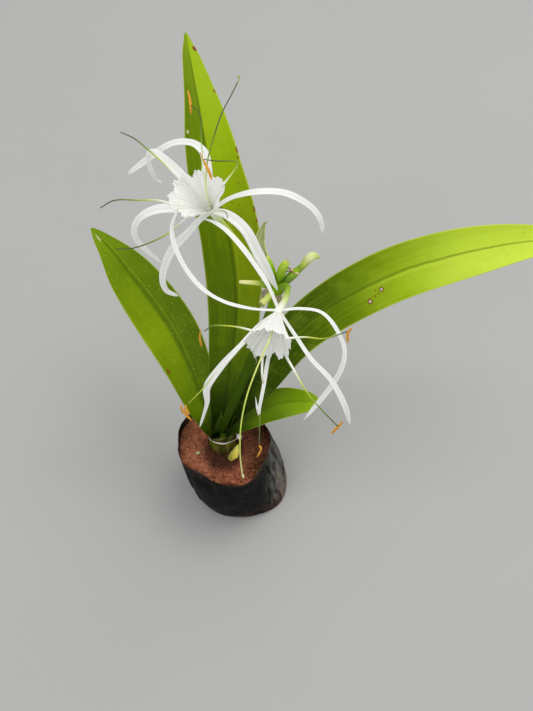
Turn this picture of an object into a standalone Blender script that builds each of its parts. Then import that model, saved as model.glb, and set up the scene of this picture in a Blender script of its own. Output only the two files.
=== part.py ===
"""Potted spider lily: a flowering Hymenocallis in a black nursery bag.

The origin is the centre of the bag's flat bottom, +Z is up and -Y is the front.
Lengths are in millimetres, and MM turns them into Blender's metres.
"""

import math

import bmesh
import bpy
import numpy as np
from mathutils import Matrix, Vector, noise

MM = 0.001
CLEARANCE = 0.4

# Grow bag
BAG_HEIGHT = 91.0
BAG_BOTTOM_RADIUS = 46.0
BAG_RIM_RADIUS = 44.0
BAG_BULGE = 2.0
BAG_LEAN = -15.0
BAG_WALL = 1.2
BAG_CORNER = 6.0
BAG_FOLDS = (1.3, 0.9)
BAG_PINCH = 6.0
BAG_PINCH_ANGLE = math.radians(-31.0)
# The rim's dents and dips, each as angle, size and sharpness
BAG_RIM_DENTS = ((math.radians(-125.0), -7.0, 20), (math.radians(-62.0), 4.0, 12))
BAG_RIM_DIPS = ((math.radians(-62.0), -5.0, 8), (math.radians(-135.0), 2.0, 12),
                (math.radians(80.0), 2.0, 4))
BAG_SIDES = 32
BAG_LEVELS = (0.0, 6.0, 24.0, 46.0, 68.0, 82.0, BAG_HEIGHT)

# Soil
SOIL_TOP = 82.0
SOIL_MOUND = 3.5
SOIL_LUMPS = 1.6
SOIL_RINGS = 5
SOIL_INSET = BAG_WALL + CLEARANCE + 0.4
SOIL_SIDE_LEVELS = (BAG_WALL + CLEARANCE, 8.0, 24.0, 46.0, 68.0)
SOIL_MOUND_AWAY = 20.0
SOIL_MOUND_SPREAD = 16.0
SOIL_LUMP_SIZE = 9.0

# Bulb and neck, each level as height, half width and half depth
NECK_CENTRE = (-15.0, 3.0)
BULB_LEVELS = (
    (24.0, 7.0, 7.0),
    (30.0, 16.0, 15.0),
    (42.0, 21.0, 20.0),
    (58.0, 18.0, 16.0),
    (74.0, 14.5, 11.5),
    (90.0, 13.2, 9.4),
    (103.0, 12.8, 8.8),
)
CUP_LEVELS = ((103.0, 11.6, 7.6), (98.0, 11.2, 7.2))
BULB_SIDES = 24
CUP_FLOOR = 98.0

# Tie band round the neck
BAND_HEIGHT = 97.0
BAND_RADIUS = 0.9
BAND_GAP = 0.4
NECK_AT_BAND = (13.0, 9.2)
BAND_SEGMENTS = 28
KNOT_RADIUS = 2.0
KNOT_OUT = 1.2
KNOT_FORWARD = 2.5

# Dead sheath, standing on the soil in front of the neck
SHEATH_FOOT = (-3.0, -13.0)
SHEATH_FOOT_GAP = 0.9
SHEATH_REST = ((-2.8, -11.5, 91.0), (-1.2, -9.0, 96.0), (2.0, -7.0, 101.0))
SHEATH_WIDTHS = ((0.0, 6.0), (0.4, 11.5), (1.0, 4.0))
SHEATH_FACE = (-0.60, 0.80, 0.0)
SHEATH_THICKNESS = 0.8
SHEATH_CHANNEL = 0.30
SHEATH_STATIONS = 8

# Leaves
LEAF_THICKNESS = 0.9
LEAF_BASE_THICKNESS = 1.3
LEAF_TIP_THICKNESS = 0.7

# Scape, from the cup's floor
SCAPE_POINTS = ((0.5, -0.5, 0), (3, 2, 20), (16, 12, 62), (31, 22, 112), (43, 21, 170), (50, 17, 216))
SCAPE_WIDTHS = ((0.0, 7.0), (0.5, 8.5), (1.0, 7.5))
SCAPE_FLATNESS = 0.55
SCAPE_STATIONS = 14
SCAPE_SIDES = 10

# Flower head: its frame leans back by HEAD_TILT, so that X is right, Y is up and Z is out
HEAD_TILT = math.radians(30.0)
UMBEL_CENTRE = (35.0, 20.0, 319.0)
KNOB_RADIUS = 5.5
THROAT_UPPER = (-10.0, 37.0, 385.0)
THROAT_LOWER = (35.0, -28.0, 362.0)

# Parts of a bloom
TUBE_RADIUS = 2.2
TEPAL_THICKNESS = 0.9
TEPAL_CHANNEL = 0.16
TEPAL_STATIONS = 13
CORONA_WALL = 0.8
CORONA_THROAT = 2.6
CORONA_SIDES = 36
CORONA_ROWS = 3
CORONA_LOBES = 12
CORONA_FLARE = 1.15
CORONA_PLEAT = 0.7
CORONA_TOOTH = 1.4
FILAMENT_RADIUS = 0.75
FILAMENT_ROOTS = (0.72, 0.98)
ANTHER_RADIUS = 1.0
STYLE_RADIUS = 0.75

# Stations along each kind of rod and bract
TUBE_STATIONS = 12
FILAMENT_STATIONS = 10
ANTHER_STATIONS = 7
STYLE_STATIONS = 14
BUD_STATIONS = 9
BRACT_STATIONS = 8
BRACT_THICKNESS = 0.7
BRACT_CHANNEL = 0.45
BLADE_COLUMNS = 4

# Width along a tepal, as a share of its full width
TEPAL_SHARES = ((0.0, 0.55), (0.2, 0.9), (0.5, 1.0), (0.8, 0.9), (0.95, 0.5), (1.0, 0.2))

# Colours, as linear red, green and blue
BLACK_FILM = (0.013, 0.013, 0.014)
RED_SOIL = (0.10, 0.050, 0.034)
NECK_GREEN = (0.22, 0.27, 0.07)
DRY_YELLOW = (0.52, 0.40, 0.12)
BAND_PINK = (0.72, 0.56, 0.50)
LEAF_GREEN = (0.11, 0.24, 0.02)
SCAPE_GREEN = (0.14, 0.20, 0.04)
BUD_GREEN = (0.34, 0.50, 0.07)
CREAM = (0.74, 0.68, 0.36)
PAPERY_BROWN = (0.24, 0.21, 0.14)
PETAL_WHITE = (0.84, 0.85, 0.78)


# Scene and materials

def clear_scene():
    for thing in list(bpy.data.objects):
        bpy.data.objects.remove(thing, do_unlink=True)


def make_collection(name):
    collection = bpy.data.collections.new(name)
    bpy.context.scene.collection.children.link(collection)
    return collection


def make_material(name, colour, roughness):
    material = bpy.data.materials.new(name)
    material.use_nodes = True
    shader = material.node_tree.nodes["Principled BSDF"]
    shader.inputs["Base Color"].default_value = (*colour, 1.0)
    shader.inputs["Roughness"].default_value = roughness
    shader.inputs["Metallic"].default_value = 0.0
    return material


def add_object(name, data, collection, place=(0.0, 0.0, 0.0), parent=None):
    thing = bpy.data.objects.new(name, data)
    collection.objects.link(thing)
    thing.location = Vector(place) * MM
    thing.parent = parent
    return thing


def add_head_frame(name, collection, centre):
    """An empty at centre, leaning back with the flower head."""
    frame = add_object(name, None, collection, centre)
    frame.rotation_euler = (HEAD_TILT, 0.0, 0.0)
    return frame


def make_guide(thing):
    thing.hide_render = True
    thing.display_type = "WIRE"


def mesh_from_bmesh(name, shape):
    bmesh.ops.recalc_face_normals(shape, faces=shape.faces)
    mesh = bpy.data.meshes.new(name)
    shape.to_mesh(mesh)
    shape.free()
    return mesh


# Smooth lines through a few points

def smooth_points(points, per_span=24):
    """A Catmull-Rom line through the points."""
    knots = np.array(points, dtype=float)
    first = 2.0 * knots[0] - knots[1]
    last = 2.0 * knots[-1] - knots[-2]
    around = np.vstack([first, knots, last])
    line = []
    for span in range(len(knots) - 1):
        a, b, c, d = around[span:span + 4]
        for step in range(per_span):
            t = step / per_span
            bend = (2.0 * a - 5.0 * b + 4.0 * c - d) * t ** 2
            turn = (3.0 * b - a - 3.0 * c + d) * t ** 3
            line.append(0.5 * (2.0 * b + (c - a) * t + bend + turn))
    line.append(knots[-1])
    return np.array(line)


def even_route(points, stations):
    """Stations evenly spaced along the smooth line through the points."""
    line = smooth_points(points)
    steps = np.linalg.norm(np.diff(line, axis=0), axis=1)
    along = np.concatenate([[0.0], np.cumsum(steps)])
    marks = np.linspace(0.0, along[-1], stations)
    return np.stack([np.interp(marks, along, line[:, axis]) for axis in range(3)], axis=1)


def smooth_profile(pairs, stations):
    """A value at each station, from a few pairs of place along the limb and value."""
    line = smooth_points(pairs)
    places = np.maximum.accumulate(line[:, 0])
    return np.interp(np.linspace(0.0, 1.0, stations), places, line[:, 1])


def unit(vector):
    return vector / np.linalg.norm(vector)


def tangents_of(route):
    ways = np.gradient(route, axis=0)
    return ways / np.linalg.norm(ways, axis=1)[:, None]


def facing_normals(route, facing, rolls):
    """Normals that turn the blade's face to one side, each then rolled about the route."""
    normals = []
    for way, roll in zip(tangents_of(route), rolls):
        flat = unit(facing - way * np.dot(facing, way))
        turn = Matrix.Rotation(math.radians(roll), 3, Vector(way))
        normals.append(np.array(turn @ Vector(flat)))
    return np.array(normals)


def carried_normals(route, facing, rolls):
    """Normals carried along a curling route without a twist of their own, then rolled."""
    normals = []
    carried = np.array(facing, dtype=float)
    for way, roll in zip(tangents_of(route), rolls):
        carried = unit(carried - way * np.dot(carried, way))
        turn = Matrix.Rotation(math.radians(roll), 3, Vector(way))
        normals.append(np.array(turn @ Vector(carried)))
    return np.array(normals)


# Blades, rods and unions

def blade_mesh(name, route, normals, widths, thicknesses, channel, columns):
    """A channelled blade, split into triangles alike on its upper and lower face."""
    ways = tangents_of(route)
    spread = np.linspace(-1.0, 1.0, columns + 1)
    shape = bmesh.new()
    upper = []
    lower = []
    for place, way, normal, width, thick in zip(route, ways, normals, widths, thicknesses):
        side = unit(np.cross(way, normal))
        upper_row = []
        lower_row = []
        for share in spread:
            across = side * share * width / 2.0
            lift = channel * (abs(share) ** 1.3) * width / 2.0
            middle = place + across + normal * lift
            upper_row.append(shape.verts.new(Vector(middle + normal * thick / 2.0) * MM))
            lower_row.append(shape.verts.new(Vector(middle - normal * thick / 2.0) * MM))
        upper.append(upper_row)
        lower.append(lower_row)
    for row in range(len(route) - 1):
        for column in range(columns):
            for sheet in (upper, lower):
                near, far = sheet[row], sheet[row + 1]
                shape.faces.new((near[column], near[column + 1], far[column + 1]))
                shape.faces.new((near[column], far[column + 1], far[column]))
        for edge in (0, columns):
            shape.faces.new((upper[row][edge], upper[row + 1][edge], lower[row + 1][edge]))
            shape.faces.new((upper[row][edge], lower[row + 1][edge], lower[row][edge]))
    for end in (0, len(route) - 1):
        for column in range(columns):
            shape.faces.new((upper[end][column], upper[end][column + 1], lower[end][column + 1]))
            shape.faces.new((upper[end][column], lower[end][column + 1], lower[end][column]))
    return mesh_from_bmesh(name, shape)


def rod(name, points, radii, stations, collection, parent=None, place=(0, 0, 0), roundness=1):
    """A round rod along the smooth line, with radii given as pairs of place and value."""
    curve = bpy.data.curves.new(name, "CURVE")
    curve.dimensions = "3D"
    curve.bevel_depth = MM
    curve.bevel_resolution = roundness
    curve.use_fill_caps = True
    spline = curve.splines.new("POLY")
    spline.points.add(stations - 1)
    route = even_route(points, stations)
    sizes = smooth_profile(radii, stations)
    for point, where, size in zip(spline.points, route, sizes):
        point.co = (*(Vector(where) * MM), 1.0)
        point.radius = size
    drawn = add_object(name + "_line", curve, collection)
    bpy.context.view_layer.update()
    seen = drawn.evaluated_get(bpy.context.evaluated_depsgraph_get())
    mesh = bpy.data.meshes.new_from_object(seen)
    bpy.data.objects.remove(drawn, do_unlink=True)
    shape = bmesh.new()
    shape.from_mesh(mesh)
    bmesh.ops.remove_doubles(shape, verts=shape.verts, dist=0.00001)
    bpy.data.meshes.remove(mesh)
    return add_object(name, mesh_from_bmesh(name, shape), collection, place, parent)


def keep_main_body(mesh):
    """Drops loose scraps and fills sealed hollows: only the largest joined surface stays."""
    shape = bmesh.new()
    shape.from_mesh(mesh)
    bmesh.ops.remove_doubles(shape, verts=shape.verts, dist=0.000001)
    bmesh.ops.dissolve_degenerate(shape, edges=shape.edges, dist=0.000001)
    waiting = set(shape.faces)
    bodies = []
    while waiting:
        body = set()
        edge_of_search = [waiting.pop()]
        while edge_of_search:
            face = edge_of_search.pop()
            body.add(face)
            for edge in face.edges:
                for neighbour in edge.link_faces:
                    if neighbour in waiting:
                        waiting.remove(neighbour)
                        edge_of_search.append(neighbour)
        bodies.append(body)
    bodies.sort(key=len)
    for body in bodies[:-1]:
        bmesh.ops.delete(shape, geom=list(body), context="FACES")
    shape.to_mesh(mesh)
    shape.free()


def fuse(base, pieces):
    """Joins the pieces into base with one union and removes them."""
    group = bpy.data.collections.new(base.name + "_pieces")
    for piece in pieces:
        group.objects.link(piece)
    bpy.context.view_layer.update()
    union = base.modifiers.new("fuse", "BOOLEAN")
    union.operation = "UNION"
    union.operand_type = "COLLECTION"
    union.collection = group
    union.solver = "MANIFOLD"
    seen = base.evaluated_get(bpy.context.evaluated_depsgraph_get())
    joined = bpy.data.meshes.new_from_object(seen)
    base.modifiers.clear()
    keep_main_body(joined)
    base.data = joined
    for piece in pieces:
        bpy.data.objects.remove(piece, do_unlink=True)
    bpy.data.collections.remove(group)
    return base


# Bag and soil

def swells(places, angle):
    """The sum of rounded swellings, each centred on its own angle."""
    return sum(size * max(0.0, math.cos(angle - centre)) ** sharp for centre, size, sharp in places)


def bag_radius(height, angle):
    """The bag's outer radius: a soft bulge, slight folds and one pinched corner at the bottom."""
    share = height / BAG_HEIGHT
    plain = BAG_BOTTOM_RADIUS + (BAG_RIM_RADIUS - BAG_BOTTOM_RADIUS) * share
    bulge = BAG_BULGE * math.sin(math.pi * share)
    folds = BAG_FOLDS[0] * math.cos(3.0 * angle + 0.6) + BAG_FOLDS[1] * math.cos(5.0 * angle - 1.0)
    corner = BAG_CORNER * max(0.0, 1.0 - height / BAG_CORNER) * 0.5
    pinch = BAG_PINCH * max(0.0, math.cos(angle - BAG_PINCH_ANGLE)) ** 10 * (1.0 - share) ** 2
    dents = swells(BAG_RIM_DENTS, angle) * share ** 3
    return plain + bulge + folds * (0.5 + 0.5 * share) - corner + pinch + dents


def bag_point(height, angle, inset=0.0):
    radius = bag_radius(height, angle) - inset
    centre = BAG_LEAN * height / BAG_HEIGHT
    return Vector((centre + radius * math.cos(angle), radius * math.sin(angle), height))


def angles_round(count):
    return [2.0 * math.pi * index / count for index in range(count)]


def make_bag(collection, material):
    shape = bmesh.new()
    rings = []
    for height in BAG_LEVELS:
        ring = []
        for angle in angles_round(BAG_SIDES):
            point = bag_point(height, angle)
            if height == BAG_HEIGHT:
                point.z += swells(BAG_RIM_DIPS, angle)
            ring.append(shape.verts.new(point * MM))
        rings.append(ring)
    shape.faces.new(list(reversed(rings[0])))
    for low, high in zip(rings, rings[1:]):
        for index in range(BAG_SIDES):
            after = (index + 1) % BAG_SIDES
            shape.faces.new((low[index], low[after], high[after], high[index]))
    mesh = bpy.data.meshes.new("grow_bag")
    shape.to_mesh(mesh)
    shape.free()
    mesh.materials.append(material)
    bag = add_object("grow_bag", mesh, collection)
    wall = bag.modifiers.new("wall", "SOLIDIFY")
    wall.thickness = BAG_WALL * MM
    wall.offset = -1.0
    return bag


def soil_height(across, back):
    """The soil's surface: mounded at the plant, with crumbs."""
    away = math.hypot(across - NECK_CENTRE[0], back - NECK_CENTRE[1])
    mound = SOIL_MOUND * math.exp(-((away - SOIL_MOUND_AWAY) / SOIL_MOUND_SPREAD) ** 2)
    lumps = SOIL_LUMPS * noise.noise(Vector((across / SOIL_LUMP_SIZE, back / SOIL_LUMP_SIZE, 3.0)))
    return SOIL_TOP + mound + lumps


def make_soil(collection, cutters, material):
    shape = bmesh.new()
    rings = []
    for height in SOIL_SIDE_LEVELS:
        ring = []
        for angle in angles_round(BAG_SIDES):
            ring.append(shape.verts.new(bag_point(height, angle, SOIL_INSET) * MM))
        rings.append(ring)
    for index in range(SOIL_RINGS):
        share = 1.0 - index / SOIL_RINGS
        ring = []
        for angle in angles_round(BAG_SIDES):
            edge = bag_point(SOIL_TOP, angle, SOIL_INSET)
            centre = Vector((BAG_LEAN * SOIL_TOP / BAG_HEIGHT, 0.0, 0.0))
            point = centre.lerp(edge, share)
            point.z = soil_height(point.x, point.y)
            ring.append(shape.verts.new(point * MM))
        rings.append(ring)
    for low, high in zip(rings, rings[1:]):
        for index in range(BAG_SIDES):
            after = (index + 1) % BAG_SIDES
            shape.faces.new((low[index], low[after], high[after], high[index]))
    shape.faces.new(list(reversed(rings[0])))
    shape.faces.new(rings[-1])
    bmesh.ops.triangulate(shape, faces=shape.faces)
    mesh = mesh_from_bmesh("soil", shape)
    mesh.materials.append(material)
    soil = add_object("soil", mesh, collection)
    hole = add_object("bulb_hole", bulb_mesh("bulb_hole", CLEARANCE, open_cup=False), cutters,
                      (*NECK_CENTRE, 0.0))
    make_guide(hole)
    cut = soil.modifiers.new("bulb hole", "BOOLEAN")
    cut.operation = "DIFFERENCE"
    cut.object = hole
    cut.solver = "EXACT"
    return soil


# Bulb, neck, tie band and dead sheath

def bulb_mesh(name, grown, open_cup):
    """Elliptical rings up the bulb and neck, then down into the cup that holds the leaves."""
    levels = [(z, rx + grown, ry + grown) for z, rx, ry in BULB_LEVELS]
    levels[0] = (levels[0][0] - grown, levels[0][1], levels[0][2])
    if open_cup:
        levels.extend(CUP_LEVELS)
    shape = bmesh.new()
    rings = []
    for height, half_width, half_depth in levels:
        ring = []
        for angle in angles_round(BULB_SIDES):
            point = Vector((half_width * math.cos(angle), half_depth * math.sin(angle), height))
            ring.append(shape.verts.new(point * MM))
        rings.append(ring)
    for low, high in zip(rings, rings[1:]):
        for index in range(BULB_SIDES):
            after = (index + 1) % BULB_SIDES
            shape.faces.new((low[index], low[after], high[after], high[index]))
    shape.faces.new(list(reversed(rings[0])))
    shape.faces.new(rings[-1])
    return mesh_from_bmesh(name, shape)


def make_bulb(collection, material):
    mesh = bulb_mesh("bulb_and_neck", 0.0, open_cup=True)
    mesh.materials.append(material)
    return add_object("bulb_and_neck", mesh, collection, (*NECK_CENTRE, 0.0))


def make_tie_band(collection, material):
    """An oval ring lying on the neck, with its knot at the right."""
    half_width, half_depth = (size + BAND_GAP + BAND_RADIUS for size in NECK_AT_BAND)
    bpy.ops.mesh.primitive_torus_add(major_segments=BAND_SEGMENTS, minor_segments=6,
                                     major_radius=half_width * MM, minor_radius=BAND_RADIUS * MM)
    band = bpy.context.object
    band.name = "tie_band"
    band.data.transform(Matrix.Diagonal((1.0, half_depth / half_width, 1.0, 1.0)))
    for other in band.users_collection:
        other.objects.unlink(band)
    collection.objects.link(band)
    band.location = Vector((*NECK_CENTRE, BAND_HEIGHT)) * MM
    shape = bmesh.new()
    bmesh.ops.create_uvsphere(shape, u_segments=8, v_segments=6, radius=KNOT_RADIUS * MM)
    knot = add_object("knot", mesh_from_bmesh("knot", shape), collection,
                      (NECK_CENTRE[0] + half_width + KNOT_OUT, NECK_CENTRE[1] - KNOT_FORWARD, BAND_HEIGHT))
    fuse(band, [knot])
    band.data.materials.clear()
    band.data.materials.append(material)
    return band


def make_dead_sheath(collection, material):
    """The dry outer scale, standing on the soil and leaning off the neck."""
    foot = (*SHEATH_FOOT, soil_height(*SHEATH_FOOT) + SHEATH_FOOT_GAP)
    route = even_route((foot, *SHEATH_REST), SHEATH_STATIONS)
    normals = facing_normals(route, np.array(SHEATH_FACE), np.zeros(SHEATH_STATIONS))
    widths = smooth_profile(SHEATH_WIDTHS, SHEATH_STATIONS)
    thick = np.full(SHEATH_STATIONS, SHEATH_THICKNESS)
    mesh = blade_mesh("dead_sheath", route, normals, widths, thick, SHEATH_CHANNEL, BLADE_COLUMNS)
    mesh.materials.append(material)
    return add_object("dead_sheath", mesh, collection)


# Leaves and scape

HEAD_OUT = np.array((0.0, -math.sin(HEAD_TILT), math.cos(HEAD_TILT)))

# Each leaf: points from the cup's floor, width, roll and channel depth along it
LEAVES = {
    "leaf_back": {
        "points": ((0, 5, 0), (0.5, 6, 9), (8, 29, 60), (17, 54, 130), (14.5, 80, 190), (-0.5, 117, 235),
                   (-11, 165, 264), (-22, 219, 280)),
        "widths": ((0.0, 9), (0.06, 14), (0.25, 36.5), (0.38, 44.5), (0.55, 46), (0.75, 42), (0.92, 20),
                   (1.0, 2)),
        "rolls": ((0.0, 0), (0.15, -12), (0.45, -18), (0.7, 20), (0.85, 36), (1.0, 40)),
        "channel": 0.40,
        "stations": 22,
    },
    "leaf_left": {
        "points": ((-8, 0, 0.5), (-9, 1, 9), (-19, 25, 30), (-44, 70, 68), (-87, 119, 106),
                   (-116, 146, 127)),
        "widths": ((0.0, 5), (0.06, 9), (0.25, 38), (0.5, 50), (0.75, 42), (0.92, 18), (1.0, 2)),
        "rolls": ((0.0, 80), (0.08, 50), (0.22, 10), (0.5, 0), (1.0, 0)),
        "channel": 0.30,
        "stations": 18,
    },
    "leaf_right": {
        "points": ((7, 2, 0.3), (7.5, 2.2, 9), (34, 34, 34), (72, 71, 70), (126, 92, 107), (187, 105, 132),
                   (274, 121, 140), (330, 127, 122)),
        "widths": ((0.0, 3.8), (0.04, 4.6), (0.2, 34), (0.45, 47), (0.7, 44), (0.9, 22), (1.0, 2)),
        "rolls": ((0.0, -53), (0.08, -30), (0.2, -5), (0.5, 0), (1.0, 0)),
        "channel": 0.30,
        "stations": 24,
    },
    "leaf_front": {
        "points": ((6.5, -3.2, 0.3), (8.5, -4.5, 6.5), (28, 13, 11), (56, 24, 19), (95, 29, 12)),
        "widths": ((0.0, 3.5), (0.1, 5), (0.35, 22), (0.6, 29), (0.85, 20), (1.0, 2)),
        "rolls": ((0.0, -110), (0.1, -70), (0.25, -15), (0.5, 0), (1.0, 0)),
        "channel": 0.22,
        "stations": 14,
    },
}


def make_leaf(name, design, collection, material):
    stations = design["stations"]
    route = even_route(design["points"], stations)
    rolls = smooth_profile(design["rolls"], stations)
    normals = facing_normals(route, HEAD_OUT, rolls)
    widths = smooth_profile(design["widths"], stations)
    thick = smooth_profile(((0.0, LEAF_BASE_THICKNESS), (0.3, LEAF_THICKNESS),
                            (1.0, LEAF_TIP_THICKNESS)), stations)
    mesh = blade_mesh(name, route, normals, widths, thick, design["channel"], BLADE_COLUMNS)
    mesh.materials.append(material)
    return add_object(name, mesh, collection, (*NECK_CENTRE, CUP_FLOOR + CLEARANCE))


def make_scape(collection, material):
    """The flattened flower stem, with the knob that carries the flowers fused to its top."""
    route = even_route(SCAPE_POINTS, SCAPE_STATIONS)
    widths = smooth_profile(SCAPE_WIDTHS, SCAPE_STATIONS)
    ways = tangents_of(route)
    normals = facing_normals(route, HEAD_OUT, np.zeros(SCAPE_STATIONS))
    shape = bmesh.new()
    rings = []
    for place, way, normal, width in zip(route, ways, normals, widths):
        side = unit(np.cross(way, normal))
        ring = []
        for angle in angles_round(SCAPE_SIDES):
            offset = side * math.cos(angle) + normal * math.sin(angle) * SCAPE_FLATNESS
            ring.append(shape.verts.new(Vector(place + offset * width / 2.0) * MM))
        rings.append(ring)
    for low, high in zip(rings, rings[1:]):
        for index in range(SCAPE_SIDES):
            after = (index + 1) % SCAPE_SIDES
            shape.faces.new((low[index], low[after], high[after], high[index]))
    shape.faces.new(rings[0])
    shape.faces.new(rings[-1])
    start = Vector((*NECK_CENTRE, CUP_FLOOR + CLEARANCE))
    scape = add_object("scape", mesh_from_bmesh("scape", shape), collection, start)
    ball = bmesh.new()
    bmesh.ops.create_uvsphere(ball, u_segments=14, v_segments=9, radius=KNOB_RADIUS * MM)
    knob = add_object("knob", mesh_from_bmesh("knob", ball), collection, UMBEL_CENTRE)
    fuse(scape, [knob])
    scape.data.materials.clear()
    scape.data.materials.append(material)
    return scape


# Blooms, in the leaning frame at each throat

UPPER_BLOOM = {
    "throat": THROAT_UPPER,
    "tube": ((30, -32, -36), (12, -13, -16)),
    "tube_foot": (-0.50, 0.55, 0.66),
    "axis": (-0.31, 0.18, 0.93),
    "depth": 32.0,
    "rim": 17.0,
    "tepals": (
        {"points": ((0, 0, 0), (-5, 25, 6), (-7, 37, 10), (-13, 43, 10), (-27, 43, 8), (-44, 34, 0),
                    (-59, 27, -12)),
         "face": (0.0, 0.1, 1.0), "width": 5.2, "roll": 0},
        {"points": ((0, 0, 0), (-18, 21, 8), (-33, 36, 12), (-41, 34, 2), (-41, 30, -12), (-37, 24, -28)),
         "face": (0.0, 0.0, 1.0), "width": 5.8, "roll": 0},
        {"points": ((0, 0, 0), (13, 7, 8), (30, 10, 14), (49, 10, 10), (66, 4, 0), (75, -4, -10),
                    (78, -13, -22)),
         "face": (0.0, 0.4, 1.0), "width": 5.0, "roll": 0},
        {"points": ((0, 0, 0), (-25, 2, -2), (-40, 0, 0), (-51, -6, -6), (-54, -15, -16), (-48, -23, -28),
                    (-38, -31, -42)),
         "face": (0.0, 0.3, 1.0), "width": 5.4, "roll": 0},
        {"points": ((0, 0, 0), (-8, -6, 0), (-16, -14, -4), (-28, -26, -9), (-35, -41, -18),
                    (-34, -51, -27), (-26, -55, -34)),
         "face": (0.0, 0.0, 1.0), "width": 4.8, "roll": 0},
        {"points": ((0, 0, 0), (11, -4, 8), (23, -14, 8), (32, -30, 0), (39, -42, -10), (45, -52, -24)),
         "face": (0.0, 0.0, 1.0), "width": 6.6, "roll": 0},
    ),
    "stamens": (
        {"rim_angle": 135, "points": ((-28, 23, 27), (-38, 34, 26), (-49, 44, 18), (-60, 51, 8)),
         "anther": None},
        {"rim_angle": 195, "points": ((-36, 4, 22), (-50, 4, 20), (-63, 5, 12), (-75, 2, 0)),
         "anther": None},
        {"rim_angle": 250, "points": ((-22, -15, 24), (-33, -21, 18), (-50, -26, 10), (-64, -26, 2)),
         "anther": None},
        {"rim_angle": 75, "points": ((-4, 31, 30), (-5, 44, 27), (-6, 59, 20), (-13, 68, 12)),
         "anther": ((-15, 78, 11), (-13, 62, 11))},
        {"rim_angle": 15, "points": ((17, 21, 33), (18, 26, 32), (6, 25, 38), (-2, 25, 42)),
         "anther": ((-5, 31, 44), (2, 13, 44))},
        {"rim_angle": 315, "points": ((6, -5, 34), (11, -7, 30), (12, -9, 24)),
         "anther": None},
    ),
    "style": ((-2, 10, 24), (0, 23, 42), (4, 36, 48), (9, 52, 46), (15, 66, 40), (19, 79, 32)),
}

LOWER_BLOOM = {
    "throat": THROAT_LOWER,
    "tube": ((7, 19, -45), (6.5, 14, -30), (4.2, 7, -14)),
    "tube_foot": (0.60, 0.0, 0.80),
    "axis": (-0.23, -0.78, 0.58),
    "depth": 30.0,
    "rim": 15.2,
    "tepals": (
        {"points": ((0, 0, 0), (-18, 1, 4), (-35, 5, 8), (-49, 13, 10), (-60, 26, 13), (-67, 41, 17),
                    (-68, 53, 21), (-63, 64, 26)),
         "face": (0.0, 0.3, 1.0), "width": 4.6, "roll": 35},
        {"points": ((0, 0, 0), (14, 1, 4), (28, -2, 10), (38, -14, 10), (43, -29, 5), (37, -47, -4),
                    (17, -74, -18)),
         "face": (0.0, 0.3, 1.0), "width": 4.6, "roll": -30},
        {"points": ((0, 0, 0), (11, -17, 8), (21, -32, 13), (34, -46, 11), (43, -62, 4), (48, -76, -8)),
         "face": (0.0, 0.0, 1.0), "width": 4.6, "roll": 0},
        {"points": ((0, 0, 0), (-14, -10, 2), (-26, -24, 6), (-37, -36, 6), (-47, -50, 0), (-48, -62, -9),
                    (-54, -79, -26)),
         "face": (0.0, 0.0, 1.0), "width": 5.0, "roll": 0},
        {"points": ((0, 0, 0), (-3, -16, -2), (-7, -32, 3), (-10, -50, 6), (-13, -66, 2), (-15, -69, -8),
                    (-16, -57, -20)),
         "face": (0.3, 0.0, 1.0), "width": 4.8, "roll": 0},
        {"points": ((0, 0, 0), (-5, 12, 4), (-10, 21, 8), (-23, 39, 12), (-34, 51, 12), (-43, 55, 11),
                    (-51, 56, 11)),
         "face": (0.0, 0.0, 1.0), "width": 4.4, "roll": 30},
    ),
    "stamens": (
        {"rim_angle": 110, "points": ((-25, -12, 30), (-34, -11, 31), (-42, -11, 26), (-48, -14, 14)),
         "anther": ((-50, -13, 16), (-50, -24, 8))},
        {"rim_angle": 35, "points": ((16, -18, 26), (27, -19, 24), (36, -17, 19), (44, -14, 10)),
         "anther": ((48, -11, 12), (44, -21, 6))},
        {"rim_angle": 318, "points": ((9, -38, 19), (17, -52, 22), (26, -63, 18), (39, -74, 8)),
         "anther": ((43, -72, 9), (34, -81, 5))},
        {"rim_angle": 265, "points": ((-11, -46, 20), (-12, -58, 22), (-12, -74, 18), (-12, -87, 8)),
         "anther": ((-12, -86, 15), (-14, -95, 0))},
        {"rim_angle": 190, "points": ((-31, -31, 22), (-41, -41, 20), (-49, -51, 13), (-61, -60, 4)),
         "anther": ((-65, -59, 5), (-62, -72, 1))},
        {"rim_angle": 228, "points": ((-19, -38, 8), (-22, -42, -4), (-24, -44, -16)),
         "anther": None},
    ),
    "style": ((-3, -10, 14), (-6, -19, 24), (-13, -35, 31), (-20, -54, 32), (-24, -73, 26), (-25, -92, 14),
              (-24, -107, 2)),
}


def corona_frame(axis):
    """Unit directions along the funnel, to its right and upward across its mouth."""
    ahead = unit(np.array(axis))
    right = unit(np.array((1.0, 0.0, 0.0)) - ahead * ahead[0])
    return ahead, right, np.cross(ahead, right)


def corona_point(design, share, angle):
    """A point on the funnel's wall, share of the way from throat to rim."""
    ahead, right, upward = corona_frame(design["axis"])
    wave = math.cos(CORONA_LOBES * angle)
    flare = (design["rim"] - CORONA_THROAT) * share ** CORONA_FLARE
    radius = CORONA_THROAT + flare + CORONA_PLEAT * share * wave
    height = design["depth"] * share + CORONA_TOOTH * share ** 3 * wave
    spoke = right * math.cos(angle) + upward * math.sin(angle)
    return ahead * height + spoke * radius


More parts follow.
